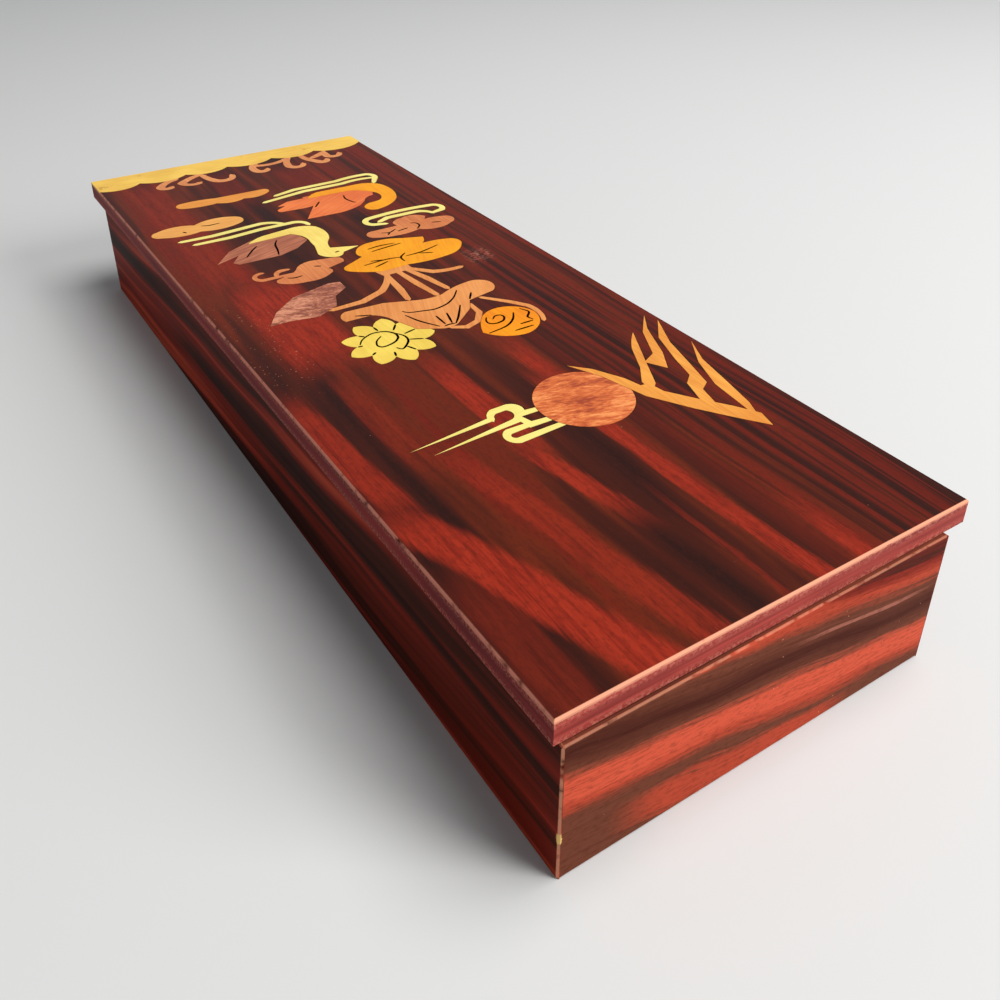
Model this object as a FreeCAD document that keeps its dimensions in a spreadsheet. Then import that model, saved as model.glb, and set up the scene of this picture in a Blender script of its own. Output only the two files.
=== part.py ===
import FreeCAD, Part
import math
import os
import Sketcher

# Lift-off-lid box for an ink stone and an ink stick, with a marquetry lid.
# Frame: +Z up, +Y along the box towards the bordered end of the lid, origin at the
# centre of the underside. All sizes in millimetres.

V = FreeCAD.Vector
doc = FreeCAD.newDocument("ink_box")
sheet = doc.addObject("Spreadsheet::Sheet", "Sizes")

# Driving dimensions: alias, value, what it is
DIMENSIONS = [
    ("box_length", 299.0, "outside of the box, along the grain"),
    ("box_width", 103.0, "outside of the box, across the grain"),
    ("box_height", 35.5, "underside to rim"),
    ("wall", 6.0, "thickness of a wall's core"),
    ("veneer", 0.6, "thickness of every veneer sheet and inlay"),
    ("corner_lap", 3.0, "depth of the rabbet that takes an end wall"),
    ("floor_board", 4.0, "thickness of the bottom board"),
    ("floor_rabbet", 3.0, "how far the bottom board reaches into the walls"),
    ("felt", 1.0, "thickness of the felt"),
    ("felt_margin", 0.4, "felt edge to wall"),
    ("divider", 3.0, "thickness of both dividers"),
    ("divider_drop", 4.0, "rim to the top of the dividers"),
    ("groove", 2.0, "depth of the divider grooves in the walls"),
    ("dado", 1.0, "depth of the cross divider's housing in the long one"),
    ("joint_play", 0.1, "clearance at each side of a housed divider"),
    ("channel", 24.0, "clear width of the brush channel"),
    ("stone_bay", 132.0, "clear length of the ink stone's bay"),
    ("finger_notch", 14.0, "radius of the finger notches"),
    ("finger_depth", 9.0, "depth of the finger notches"),
    ("lid_length", 308.0, "lid, along the grain"),
    ("lid_width", 110.0, "lid, across the grain"),
    ("lid_thickness", 6.5, "lid, underside to top"),
    ("lid_shift_x", 2.3, "how far the lid lies off centre to the right"),
    ("lid_shift_y", 5.6, "how far the lid lies off centre to the back"),
    ("lipping", 2.5, "width of the lid's edge lippings"),
    ("arris", 0.4, "softened outer edges"),
    ("batten_width", 5.0, "lid battens, across"),
    ("batten_depth", 3.0, "lid battens, downwards"),
    ("batten_gap", 0.5, "batten to wall on the sides towards which the lid has moved"),
    ("kerf", 0.15, "saw cut between an inlay and what surrounds it"),
    ("ribbon", 2.2, "width of the cream ribbons"),
    ("scroll", 3.2, "width of the hook scrollwork"),
    ("stem", 2.4, "width of the lotus stems"),
    ("thin_stem", 1.9, "width of the bud's stems and the curled cloud's tails"),
    ("moon_radius", 13.0, "moon disc"),
    ("flower_radius", 13.4, "lotus flower, centre to petal tip"),
    ("loose", 0.3, "gap under a loose piece at rest"),
    ("stone_end_gap", 4.0, "finger room between the ink stone and its bay's ends"),
    ("stone_side_gap", 2.4, "between the ink stone and its bay's sides"),
    ("stone_height", 16.0, "ink stone"),
    ("stone_corner", 6.0, "ink stone, corner radius"),
    ("stone_rim", 5.0, "width of the stone's rim"),
    ("rim_depth", 2.5, "rim to the top of the grinding slope"),
    ("well_depth", 9.0, "rim to the floor of the ink well"),
    ("well_length", 28.0, "length of the ink well's floor"),
    ("slope_length", 24.0, "fall from grinding face to well"),
    ("stick_length", 96.0, "ink stick"),
    ("stick_width", 22.0, "ink stick"),
    ("stick_height", 10.0, "ink stick"),
    ("stick_edge", 1.2, "ink stick, chamfer of its edges"),
    ("stick_panel_margin", 4.0, "ink stick, edge to sunk panel"),
    ("stick_panel_depth", 0.8, "ink stick, depth of the sunk panel"),
    ("rest_thickness", 9.0, "brush and ink stick rests, along the box"),
    ("rest_margin", 0.2, "rest to wall or divider"),
    ("brush_rest_height", 11.0, "brush rests"),
    ("brush_hollow", 4.5, "radius of a brush rest's hollows"),
    ("brush_rest_spacing", 170.0, "between the two brush rests"),
    ("stick_rest_height", 7.0, "ink stick rests"),
    ("stick_seat", 3.5, "depth of the seat in an ink stick rest"),
    ("stick_rest_spacing", 62.0, "between the two ink stick rests"),
]
for row, (alias, value, note) in enumerate(DIMENSIONS, start=1):
    sheet.set(f"A{row}", alias.replace("_", " "))
    sheet.set(f"B{row}", str(value))
    sheet.setAlias(f"B{row}", alias)
    sheet.set(f"C{row}", note)
doc.recompute()

NAMES = sorted((alias for alias, _, _ in DIMENSIONS), key=len, reverse=True)


def size(alias):
    return float(sheet.get(alias))


def on_sheet(text):
    """Turn an expression on plain names into one that points at the sheet's cells."""
    words = []
    for word in str(text).replace("(", " ( ").replace(")", " ) ").split():
        sign = "-" if word.startswith("-") and word[1:] in NAMES else ""
        name = word[1:] if sign else word
        words.append(f"{sign}Sizes.{name}" if name in NAMES else word)
    return " ".join(words)


def value_of(text):
    return float(sheet.evalExpression(on_sheet(text).replace("Sizes.", "")))


# Lengths and places that follow from the driving dimensions, as expressions
HALF_CORE_LENGTH = "( box_length / 2 - veneer )"
HALF_CORE_WIDTH = "( box_width / 2 - veneer )"
HALF_ROOM_LENGTH = "( box_length / 2 - veneer - wall )"
HALF_ROOM_WIDTH = "( box_width / 2 - veneer - wall )"
FELT_TOP = "( floor_board + felt )"
DIVIDER_HEIGHT = f"( box_height - divider_drop - {FELT_TOP} )"
CHANNEL_SIDE = f"( {HALF_ROOM_WIDTH} - channel )"
DIVIDER_X = f"( {CHANNEL_SIDE} - divider / 2 )"
BAY_WIDTH = f"( {HALF_ROOM_WIDTH} + {CHANNEL_SIDE} - divider )"
BAY_X = f"( {BAY_WIDTH} / 2 - {HALF_ROOM_WIDTH} )"
CHANNEL_X = f"( {CHANNEL_SIDE} + channel / 2 )"
CROSS_Y = f"( stone_bay + divider / 2 - {HALF_ROOM_LENGTH} )"
STONE_Y = f"( stone_bay / 2 - {HALF_ROOM_LENGTH} )"
STONE_WIDTH = f"( {BAY_WIDTH} - 2 * stone_side_gap )"
STONE_LENGTH = "( stone_bay - 2 * stone_end_gap )"
STICK_BAY_START = f"( {CROSS_Y} + divider / 2 )"
STICK_Y = f"( ( {STICK_BAY_START} + {HALF_ROOM_LENGTH} ) / 2 )"
STICK_Z = f"( {FELT_TOP} + stick_rest_height - stick_seat + loose )"
HALF_SLOT = "( divider / 2 + joint_play )"
CORE_THICKNESS = "( lid_thickness - 2 * veneer )"
LID_TOP_SHEET = "( lid_thickness - veneer )"


def place(piece, x="0", y="0", z="0", turn=0.0, axis=V(0, 0, 1)):
    """Put a piece at an expression for each coordinate, turned about an axis."""
    piece.Placement = FreeCAD.Placement(V(0, 0, 0), FreeCAD.Rotation(axis, turn))
    for name, text in zip("xyz", (x, y, z)):
        piece.setExpression(f"Placement.Base.{name}", on_sheet(text))


def body(name):
    piece = doc.addObject("PartDesign::Body", name)
    piece.Label = name
    return piece


def profile(piece, name, plane, corners):
    """A straight-sided sketch whose corners are tied to the sheet by their coordinates."""
    sketch = piece.newObject("Sketcher::SketchObject", name)
    origin_plane = [f for f in piece.Origin.OriginFeatures if f.Role == plane][0]
    sketch.AttachmentSupport = [(origin_plane, "")]
    sketch.MapMode = "FlatFace"
    spots = [V(value_of(x), value_of(y), 0) for x, y in corners]
    count = len(spots)
    for i, spot in enumerate(spots):
        sketch.addGeometry(Part.LineSegment(spot, spots[(i + 1) % count]), False)
    for i in range(count):
        sketch.addConstraint(Sketcher.Constraint("Coincident", i, 2, (i + 1) % count, 1))
    for i, (x, y) in enumerate(corners):
        for kind, text, at in (("DistanceX", x, spots[i].x), ("DistanceY", y, spots[i].y)):
            row = sketch.addConstraint(Sketcher.Constraint(kind, i, 1, at))
            sketch.setExpression(f"Constraints[{row}]", on_sheet(text))
    return sketch


def rectangle(x0, x1, y0, y1):
    return [(x0, y0), (x1, y0), (x1, y1), (x0, y1)]


def pad(piece, name, sketch, length, both_ways=False):
    feature = piece.newObject("PartDesign::Pad", name)
    feature.Profile = sketch
    feature.Midplane = both_ways
    feature.setExpression("Length", on_sheet(length))
    sketch.Visibility = False
    return feature


def pocket(piece, name, sketch, length, both_ways=False):
    """Cut the sketch out of the piece, and make sure that it took something away."""
    doc.recompute()
    before = piece.Shape.Volume
    feature = piece.newObject("PartDesign::Pocket", name)
    feature.Profile = sketch
    feature.Midplane = both_ways
    feature.Reversed = not both_ways
    feature.setExpression("Length", on_sheet(length))
    sketch.Visibility = False
    doc.recompute()
    if not feature.Shape.Volume < before:
        raise ValueError(f"{piece.Name}: {name} cuts nothing")
    return feature


def edges_where(shape, test):
    return [f"Edge{i}" for i, edge in enumerate(shape.Edges, start=1) if test(edge)]


def soften(piece, name, kind, amount, test):
    """Chamfer or fillet the edges of a body that pass a test."""
    doc.recompute()
    base = piece.Tip
    feature = piece.newObject(f"PartDesign::{kind}", name)
    feature.Base = (base, edges_where(base.Shape, test))
    feature.setExpression("Radius" if kind == "Fillet" else "Size", on_sheet(amount))
    return feature


def is_upright(edge):
    box = edge.BoundBox
    return box.XLength < 1e-6 and box.YLength < 1e-6


def near(a, b):
    return abs(a - b) < 1e-4


# Box: walls

def side_wall(name, side):
    """A long wall, rabbeted at both ends for the end walls and below for the floor.

    Its profile is drawn with x from the outer face inwards on the left wall; side turns
    it over for the right one.
    """
    piece = body(name)
    inner = f"{side} * wall"
    lapped = f"{side} * ( wall - corner_lap )"
    corners = [
        ("0", f"-1 * {HALF_CORE_LENGTH}"),
        (lapped, f"-1 * {HALF_CORE_LENGTH}"),
        (lapped, f"-1 * {HALF_ROOM_LENGTH}"),
        (inner, f"-1 * {HALF_ROOM_LENGTH}"),
        (inner, HALF_ROOM_LENGTH),
        (lapped, HALF_ROOM_LENGTH),
        (lapped, HALF_CORE_LENGTH),
        ("0", HALF_CORE_LENGTH),
    ]
    pad(piece, f"{name}_length", profile(piece, f"{name}_plan", "XY_Plane", corners), "box_height")
    reach = f"( {HALF_ROOM_LENGTH} + floor_rabbet )"
    seat = rectangle(f"{side} * ( wall - floor_rabbet )", inner, f"-1 * {reach}", reach)
    sketch = profile(piece, f"{name}_floor_seat", "XY_Plane", seat)
    pocket(piece, f"{name}_rabbet", sketch, "floor_board")
    place(piece, x=f"-1 * {side} * {HALF_CORE_WIDTH}")
    return piece


def end_wall(name, end):
    """A short wall between the long ones, grooved for the long divider."""
    piece = body(name)
    half = f"( {HALF_CORE_WIDTH} - wall + corner_lap )"
    inner = f"{end} * wall"
    plan = rectangle(f"-1 * {half}", half, "0", inner)
    pad(piece, f"{name}_length", profile(piece, f"{name}_plan", "XY_Plane", plan), "box_height")
    reach = f"( {HALF_ROOM_WIDTH} + floor_rabbet )"
    seat = rectangle(f"-1 * {reach}", reach, f"{end} * ( wall - floor_rabbet )", inner)
    sketch = profile(piece, f"{name}_floor_seat", "XY_Plane", seat)
    pocket(piece, f"{name}_rabbet", sketch, "floor_board")
    slot = rectangle(
        f"{DIVIDER_X} - {HALF_SLOT}",
        f"{DIVIDER_X} + {HALF_SLOT}",
        f"{end} * ( wall - groove )",
        inner,
    )
    sketch = profile(piece, f"{name}_divider_slot", "XY_Plane", slot)
    pocket(piece, f"{name}_groove", sketch, "box_height")
    place(piece, y=f"-1 * {end} * {HALF_CORE_LENGTH}")
    return piece


left_wall = side_wall("left_wall", 1)
slot = rectangle(
    "wall - groove", "wall", f"{CROSS_Y} - {HALF_SLOT}", f"{CROSS_Y} + {HALF_SLOT}"
)
slot_sketch = profile(left_wall, "left_wall_divider_slot", "XY_Plane", slot)
pocket(left_wall, "left_wall_groove", slot_sketch, "box_height")
right_wall = side_wall("right_wall", -1)
front_wall = end_wall("front_wall", 1)
back_wall = end_wall("back_wall", -1)


# Box: veneers, with softened outer edges

def face_veneer(name, across, half, turn, x, y):
    """A veneer sheet standing on its edge, its outer face at y = 0 before it is turned."""
    piece = body(name)
    plan = rectangle(f"-1 * {half}", half, "0", "veneer")
    pad(piece, f"{name}_sheet", profile(piece, f"{name}_plan", "XY_Plane", plan), "box_height")

    def is_outer(edge):
        box = edge.BoundBox
        at_face = near(box.YMin, 0) and near(box.YMax, 0)
        return at_face and (across or not is_upright(edge))

    soften(piece, f"{name}_arris", "Chamfer", "arris", is_outer)
    place(piece, x=x, y=y, turn=turn)
    return piece


half_end_sheet = "( box_width / 2 - veneer )"
face_veneer("front_veneer", False, half_end_sheet, 0, "0", "-1 * box_length / 2")
face_veneer("back_veneer", False, half_end_sheet, 180, "0", "box_length / 2")
face_veneer("left_veneer", True, "( box_length / 2 )", -90, "-1 * box_width / 2", "0")
face_veneer("right_veneer", True, "( box_length / 2 )", 90, "box_width / 2", "0")


# Box: floor

def flat_sheet(name, half_x, half_y, thickness, **spot):
    piece = body(name)
    plan = rectangle(f"-1 * {half_x}", half_x, f"-1 * {half_y}", half_y)
    pad(piece, f"{name}_sheet", profile(piece, f"{name}_plan", "XY_Plane", plan), thickness)
    place(piece, **spot)
    return piece


flat_sheet(
    "bottom_board",
    f"( {HALF_ROOM_WIDTH} + floor_rabbet )",
    f"( {HALF_ROOM_LENGTH} + floor_rabbet )",
    "floor_board",
)
flat_sheet(
    "floor_felt",
    f"( {HALF_ROOM_WIDTH} - felt_margin )",
    f"( {HALF_ROOM_LENGTH} - felt_margin )",
    "felt",
    z="floor_board",
)


# Box: dividers

def circle_sketch(piece, name, plane_role, x, y, radius):
    """A circle whose centre and radius are tied to the sheet."""
    sketch = piece.newObject("Sketcher::SketchObject", name)
    origin_plane = [f for f in piece.Origin.OriginFeatures if f.Role == plane_role][0]
    sketch.AttachmentSupport = [(origin_plane, "")]
    sketch.MapMode = "FlatFace"
    centre = V(value_of(x), value_of(y), 0)
    sketch.addGeometry(Part.Circle(centre, V(0, 0, 1), value_of(radius)), False)
    rows = [
        ("Radius", (0,), radius, value_of(radius)),
        ("DistanceX", (0, 3), x, centre.x),
        ("DistanceY", (0, 3), y, centre.y),
    ]
    for kind, where, text, at in rows:
        row = sketch.addConstraint(Sketcher.Constraint(kind, *where, at))
        sketch.setExpression(f"Constraints[{row}]", on_sheet(text))
    return sketch


def finger_notch(piece, name, along, plane_role):
    """A round finger notch in a divider's top edge, centred at a distance along it."""
    height = f"( {DIVIDER_HEIGHT} + finger_notch - finger_depth )"
    sketch = circle_sketch(piece, name, plane_role, along, height, "finger_notch")
    pocket(piece, f"{name}_cut", sketch, "4 * divider", both_ways=True)


long_divider = body("long_divider")
half_run = f"( {HALF_ROOM_LENGTH} + groove - joint_play )"
plan = rectangle("-1 * divider / 2", "divider / 2", f"-1 * {half_run}", half_run)
plan_sketch = profile(long_divider, "long_divider_plan", "XY_Plane", plan)
pad(long_divider, "long_divider_board", plan_sketch, DIVIDER_HEIGHT)
housing = rectangle(
    "-1 * divider / 2", "dado - divider / 2", f"{CROSS_Y} - {HALF_SLOT}", f"{CROSS_Y} + {HALF_SLOT}"
)
housing_sketch = profile(long_divider, "long_divider_housing", "XY_Plane", housing)
pocket(long_divider, "long_divider_dado", housing_sketch, DIVIDER_HEIGHT)
finger_notch(long_divider, "stone_notch", STONE_Y, "YZ_Plane")
finger_notch(long_divider, "stick_notch", STICK_Y, "YZ_Plane")
place(long_divider, x=DIVIDER_X, z=FELT_TOP)

cross_divider = body("cross_divider")
left_end = f"( groove - joint_play + {BAY_WIDTH} / 2 )"
right_end = f"( dado - joint_play + {BAY_WIDTH} / 2 )"
plan = rectangle(f"-1 * {left_end}", right_end, "-1 * divider / 2", "divider / 2")
plan_sketch = profile(cross_divider, "cross_divider_plan", "XY_Plane", plan)
pad(cross_divider, "cross_divider_board", plan_sketch, DIVIDER_HEIGHT)
finger_notch(cross_divider, "cross_notch", "0", "XZ_Plane")
place(cross_divider, x=BAY_X, y=CROSS_Y, z=FELT_TOP)


# Box: rests

def rest_block(name, half_width, height):
    """A block across a bay."""
    piece = body(name)
    half = "( rest_thickness / 2 )"
    plan = rectangle(f"-1 * {half_width}", half_width, f"-1 * {half}", half)
    pad(piece, f"{name}_block", profile(piece, f"{name}_plan", "XY_Plane", plan), height)
    return piece


def square_seat(piece, name, height, half_seat, depth):
    """A square seat in the middle of a rest's top face."""
    seat = rectangle(f"-1 * {half_seat}", half_seat, f"{height} - {depth}", f"{height} + {depth}")
    sketch = profile(piece, name, "XZ_Plane", seat)
    pocket(piece, f"{name}_cut", sketch, "2 * rest_thickness", both_ways=True)


def round_hollow(piece, name, x, height, radius):
    """A round groove along the top of a rest, its centre on the top face."""
    sketch = circle_sketch(piece, name, "XZ_Plane", x, height, radius)
    pocket(piece, f"{name}_cut", sketch, "2 * rest_thickness", both_ways=True)


half_brush_rest = "( channel / 2 - rest_margin )"
half_stick_rest = f"( {BAY_WIDTH} / 2 - rest_margin )"
half_seat = "( stick_width / 2 + loose )"
for name, sign in (("front", "-1"), ("back", "1")):
    rest = rest_block(f"brush_rest_{name}", half_brush_rest, "brush_rest_height")
    for side, label in (("-1", "left"), ("1", "right")):
        spot = f"{side} * channel / 4"
        round_hollow(rest, f"brush_hollow_{name}_{label}", spot, "brush_rest_height", "brush_hollow")
    place(rest, x=CHANNEL_X, y=f"{sign} * brush_rest_spacing / 2", z=FELT_TOP)
    rest = rest_block(f"stick_rest_{name}", half_stick_rest, "stick_rest_height")
    square_seat(rest, f"stick_seat_{name}", "stick_rest_height", half_seat, "stick_seat")
    place(rest, x=BAY_X, y=f"{STICK_Y} + {sign} * stick_rest_spacing / 2", z=FELT_TOP)


# Ink stone: a slab with a rim, a grinding face and a slope down to a well at its back end

def ink_stone():
    slab = body("ink_slab")
    half_x = f"( {STONE_WIDTH} / 2 )"
    half_y = f"( {STONE_LENGTH} / 2 )"
    plan = rectangle(f"-1 * {half_x}", half_x, f"-1 * {half_y}", half_y)
    pad(slab, "slab_block", profile(slab, "slab_plan", "XY_Plane", plan), "stone_height")
    soften(slab, "slab_corners", "Fillet", "stone_corner", is_upright)
    soften(slab, "slab_edges", "Chamfer", "arris * 2", lambda e: near(e.BoundBox.ZMin, size("stone_height")))

    hollow = body("ink_hollow")
    half_x = f"( {STONE_WIDTH} / 2 - stone_rim )"
    half_y = f"( {STONE_LENGTH} / 2 - stone_rim )"
    plan = rectangle(f"-1 * {half_x}", half_x, f"-1 * {half_y}", half_y)
    pad(hollow, "hollow_block", profile(hollow, "hollow_plan", "XY_Plane", plan), "2 * stone_height")
    soften(hollow, "hollow_corners", "Fillet", "stone_corner", is_upright)

    fall = body("ink_fall")
    start = f"( {half_y} - well_length - slope_length )"
    foot = f"( {half_y} - well_length )"
    side = [
        (f"-1 * {half_y} - stone_rim", "stone_height - rim_depth"),
        (start, "stone_height - rim_depth"),
        (foot, "stone_height - well_depth"),
        (f"{half_y} + stone_rim", "stone_height - well_depth"),
        (f"{half_y} + stone_rim", "2 * stone_height"),
        (f"-1 * {half_y} - stone_rim", "2 * stone_height"),
    ]
    pad(fall, "fall_block", profile(fall, "fall_side", "YZ_Plane", side), STONE_WIDTH, both_ways=True)

    def is_turn(edge):
        box = edge.BoundBox
        at_start = near(box.YMin, value_of(start)) and near(box.YMax, value_of(start))
        at_foot = near(box.YMin, value_of(foot)) and near(box.YMax, value_of(foot))
        return box.XLength > 1 and (at_start or at_foot)

    soften(fall, "fall_turns", "Fillet", "slope_length / 2", is_turn)
    sunk = doc.addObject("Part::MultiCommon", "ink_sunk")
    sunk.Shapes = [hollow, fall]
    stone = doc.addObject("Part::Cut", "ink_stone")
    stone.Base = slab
    stone.Tool = sunk
    stone.Label = "ink_stone"
    place(stone, x=BAY_X, y=STONE_Y, z=f"{FELT_TOP} + loose")
    return stone


ink_stone()

ink_stick = body("ink_stick")
half_x = "( stick_width / 2 )"
half_y = "( stick_length / 2 )"
plan = rectangle(f"-1 * {half_x}", half_x, f"-1 * {half_y}", half_y)
pad(ink_stick, "stick_block", profile(ink_stick, "stick_plan", "XY_Plane", plan), "stick_height")
soften(ink_stick, "stick_corners", "Chamfer", "stick_edge * 2", is_upright)
soften(ink_stick, "stick_edges", "Chamfer", "stick_edge", lambda e: near(e.BoundBox.ZLength, 0))
half_x = "( stick_width / 2 - stick_panel_margin )"
half_y = "( stick_length / 2 - stick_panel_margin )"
panel = rectangle(f"-1 * {half_x}", half_x, f"-1 * {half_y}", half_y)
panel_sketch = profile(ink_stick, "stick_panel_plan", "XY_Plane", panel)
panel_sketch.setExpression("AttachmentOffset.Base.z", on_sheet("stick_height - stick_panel_depth"))
pocket(ink_stick, "stick_panel", panel_sketch, "stick_height")
place(ink_stick, x=BAY_X, y=STICK_Y, z=STICK_Z)


# Lid: core, balancing veneer, mitred lippings and battens

def on_lid(z):
    return {"x": "lid_shift_x", "y": "lid_shift_y", "z": f"box_height + {z}"}


half_core_x = "( lid_width / 2 - lipping )"
half_core_y = "( lid_length / 2 - lipping )"
flat_sheet("lid_core", half_core_x, half_core_y, CORE_THICKNESS, **on_lid("veneer"))
flat_sheet("lid_back_veneer", half_core_x, half_core_y, "veneer", **on_lid("0"))


def mitred_bar(name, half_outer, width, height, outer_face, turn, z):
    """A bar with mitred ends, its outer face on the frame's outline before it is turned."""
    piece = body(name)
    corners = [
        (f"-1 * {half_outer}", f"-1 * {outer_face}"),
        (half_outer, f"-1 * {outer_face}"),
        (f"{half_outer} - {width}", f"{width} - {outer_face}"),
        (f"{width} - {half_outer}", f"{width} - {outer_face}"),
    ]
    pad(piece, f"{name}_bar", profile(piece, f"{name}_plan", "XY_Plane", corners), height)
    place(piece, turn=turn, **on_lid(z))
    return piece


BATTEN_X = f"( {HALF_ROOM_WIDTH} - lid_shift_x - batten_gap )"
BATTEN_Y = f"( {HALF_ROOM_LENGTH} - lid_shift_y - batten_gap )"
EDGE_X = "( lid_width / 2 )"
EDGE_Y = "( lid_length / 2 )"
SIDES = [("front", 0, True), ("right", 90, False), ("back", 180, True), ("left", -90, False)]
for name, turn, across in SIDES:
    half, face = (EDGE_X, EDGE_Y) if across else (EDGE_Y, EDGE_X)
    bar = mitred_bar(f"lid_lipping_{name}", half, "lipping", LID_TOP_SHEET, face, turn, "0")

    def is_lower_edge(edge):
        box = edge.BoundBox
        at_face = near(box.YMin, -value_of(face)) and near(box.YMax, -value_of(face))
        return at_face and near(box.ZMax, 0)

    soften(bar, f"lid_lipping_{name}_arris", "Chamfer", "arris", is_lower_edge)
    half, face = (BATTEN_X, BATTEN_Y) if across else (BATTEN_Y, BATTEN_X)
    drop = "-1 * batten_depth"
    mitred_bar(f"lid_batten_{name}", half, "batten_width", "batten_depth", face, turn, drop)


# Lid: the marquetry picture
#
# The picture is laid out in squares, 110 across the lid and 308 along it, from the lid's
# centre, so that it always fills the lid. An outline is a list of corners (x, y, bulge).
# The bulge bends the run to the next corner: 0 is straight, 1 a half circle, and above 0
# the run curves to the left. An outline goes round counter-clockwise. A band is such a line
# with a width of its own.

SQUARES = (110, 308)
PETAL_NOTCH = 0.70  # distance of the notches between petals, as a share of the tips
PETAL_BEND = 0.27
MITRE_LIMIT = 0.35  # cosine of half a turn; sharper corners are moved no farther
BAND_END = 0.75  # width of a band at its ends, as a share of its width


def on_picture(x, y):
    return V(x * size("lid_width") / SQUARES[0], y * size("lid_length") / SQUARES[1], 0)


def headings(start, end):
    """The directions in which a run leaves its first corner and reaches its second."""
    chord = math.atan2(end[1] - start[1], end[0] - start[0])
    swing = 2 * math.atan(start[2])
    return chord - swing, chord + swing


def at_corner(before, corner, after):
    """The direction of an outline at a corner, and half of its turn there."""
    arriving, leaving = headings(before, corner)[1], headings(corner, after)[0]
    half_turn = math.remainder(leaving - arriving, 2 * math.pi) / 2
    return arriving + half_turn, half_turn


def moved(corner, heading, forward, right, bulge):
    x = corner[0] + forward * math.cos(heading) + right * math.sin(heading)
    y = corner[1] + forward * math.sin(heading) - right * math.cos(heading)
    return x, y, bulge


def band(width, line):
    """The outline of a band along a centre line of corners, with a point at each end."""
    half = size(width) / 2
    first, last = headings(line[0], line[1])[0], headings(line[-2], line[-1])[1]
    right = [moved(line[0], first, 0, half * BAND_END, line[0][2])]
    left = [moved(line[0], first, 0, -half * BAND_END, 0)]
    for before, corner, after in zip(line, line[1:], line[2:]):
        heading, half_turn = at_corner(before, corner, after)
        reach = half / math.cos(half_turn)
        right.append(moved(corner, heading, 0, reach, corner[2]))
        left.append(moved(corner, heading, 0, -reach, -before[2]))
    right.append(moved(line[-1], last, 0, half * BAND_END, 0))
    left.append(moved(line[-1], last, 0, -half * BAND_END, -line[-2][2]))
    far_tip = moved(line[-1], last, half, 0, 0)
    near_tip = moved(line[0], first, -half, 0, 0)
    return right + [far_tip] + left[::-1] + [near_tip]


def grown(corners, by):
    """The outline moved outwards by a distance, with its sharp corners kept."""
    rim = []
    for before, corner, after in zip(corners[-1:] + corners, corners, corners[1:] + corners[:1]):
        heading, half_turn = at_corner(before, corner, after)
        reach = by / max(math.cos(half_turn), MITRE_LIMIT)
        rim.append(moved(corner, heading, 0, reach, corner[2]))
    return rim


def runs(corners):
    """The straight and round runs of a closed outline."""
    curves = []
    for (x0, y0, bulge), (x1, y1, _) in zip(corners, corners[1:] + corners[:1]):
        start, end = on_picture(x0, y0), on_picture(x1, y1)
        if bulge:
            chord = end - start
            middle = (start + end) / 2 + V(chord.y, -chord.x, 0) * bulge / 2
            curves.append(Part.Arc(start, middle, end))
        else:
            curves.append(Part.LineSegment(start, end))
    return curves


def flat_sketch(name, curves):
    sketch = doc.addObject("Sketcher::SketchObject", name)
    sketch.addGeometry(curves, False)
    sketch.Visibility = False
    return sketch


def raised(name, outline):
    """An outline given the thickness of the veneer."""
    block = doc.addObject("Part::Extrusion", name)
    block.Base = outline
    block.DirMode = "Custom"
    block.Dir = V(0, 0, 1)
    block.Solid = True
    block.setExpression("LengthFwd", on_sheet("veneer"))
    return block


def united(name, shapes):
    if len(shapes) == 1:
        return shapes[0]
    union = doc.addObject("Part::MultiFuse", name)
    union.Shapes = shapes
    union.Refine = True
    return union


SAWN = {}
INLAYS = []


def inlay(name, outlines, under=()):
    """One piece of the picture, and the block that saws its opening, a kerf larger all round.

    What lies under another piece is sawn back from it.
    """
    blocks, cutters = [], []
    for i, corners in enumerate(outlines):
        sketch = flat_sketch(f"{name}_outline_{i}", runs(corners))
        blocks.append(raised(f"{name}_block_{i}", sketch))
        rim = flat_sketch(f"{name}_rim_{i}", runs(grown(corners, size("kerf"))))
        cutters.append(raised(f"{name}_cutter_{i}", rim))
    piece = united(f"{name}_whole", blocks)
    SAWN[name] = united(f"{name}_opening", cutters)
    if under:
        trimmed = doc.addObject("Part::Cut", f"{name}_trimmed")
        trimmed.Base = piece
        trimmed.Tool = united(f"{name}_neighbours", [SAWN[other] for other in under])
        piece = trimmed
    piece.Label = name
    place(piece, **on_lid(LID_TOP_SHEET))
    INLAYS.append(piece)


def ring_of_petals(x, y, count, tip, turned):
    """Pointed petals round a centre: each has two arcs from the notches to its tip."""
    corners = []
    for i in range(2 * count):
        radius = tip if i % 2 else tip * PETAL_NOTCH
        turn = turned + math.pi * i / count
        corners.append((x + radius * math.cos(turn), y + radius * math.sin(turn), PETAL_BEND))
    return corners


def disc(x, y, radius):
    return [(x - radius, y, 1), (x + radius, y, 1)]


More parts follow.
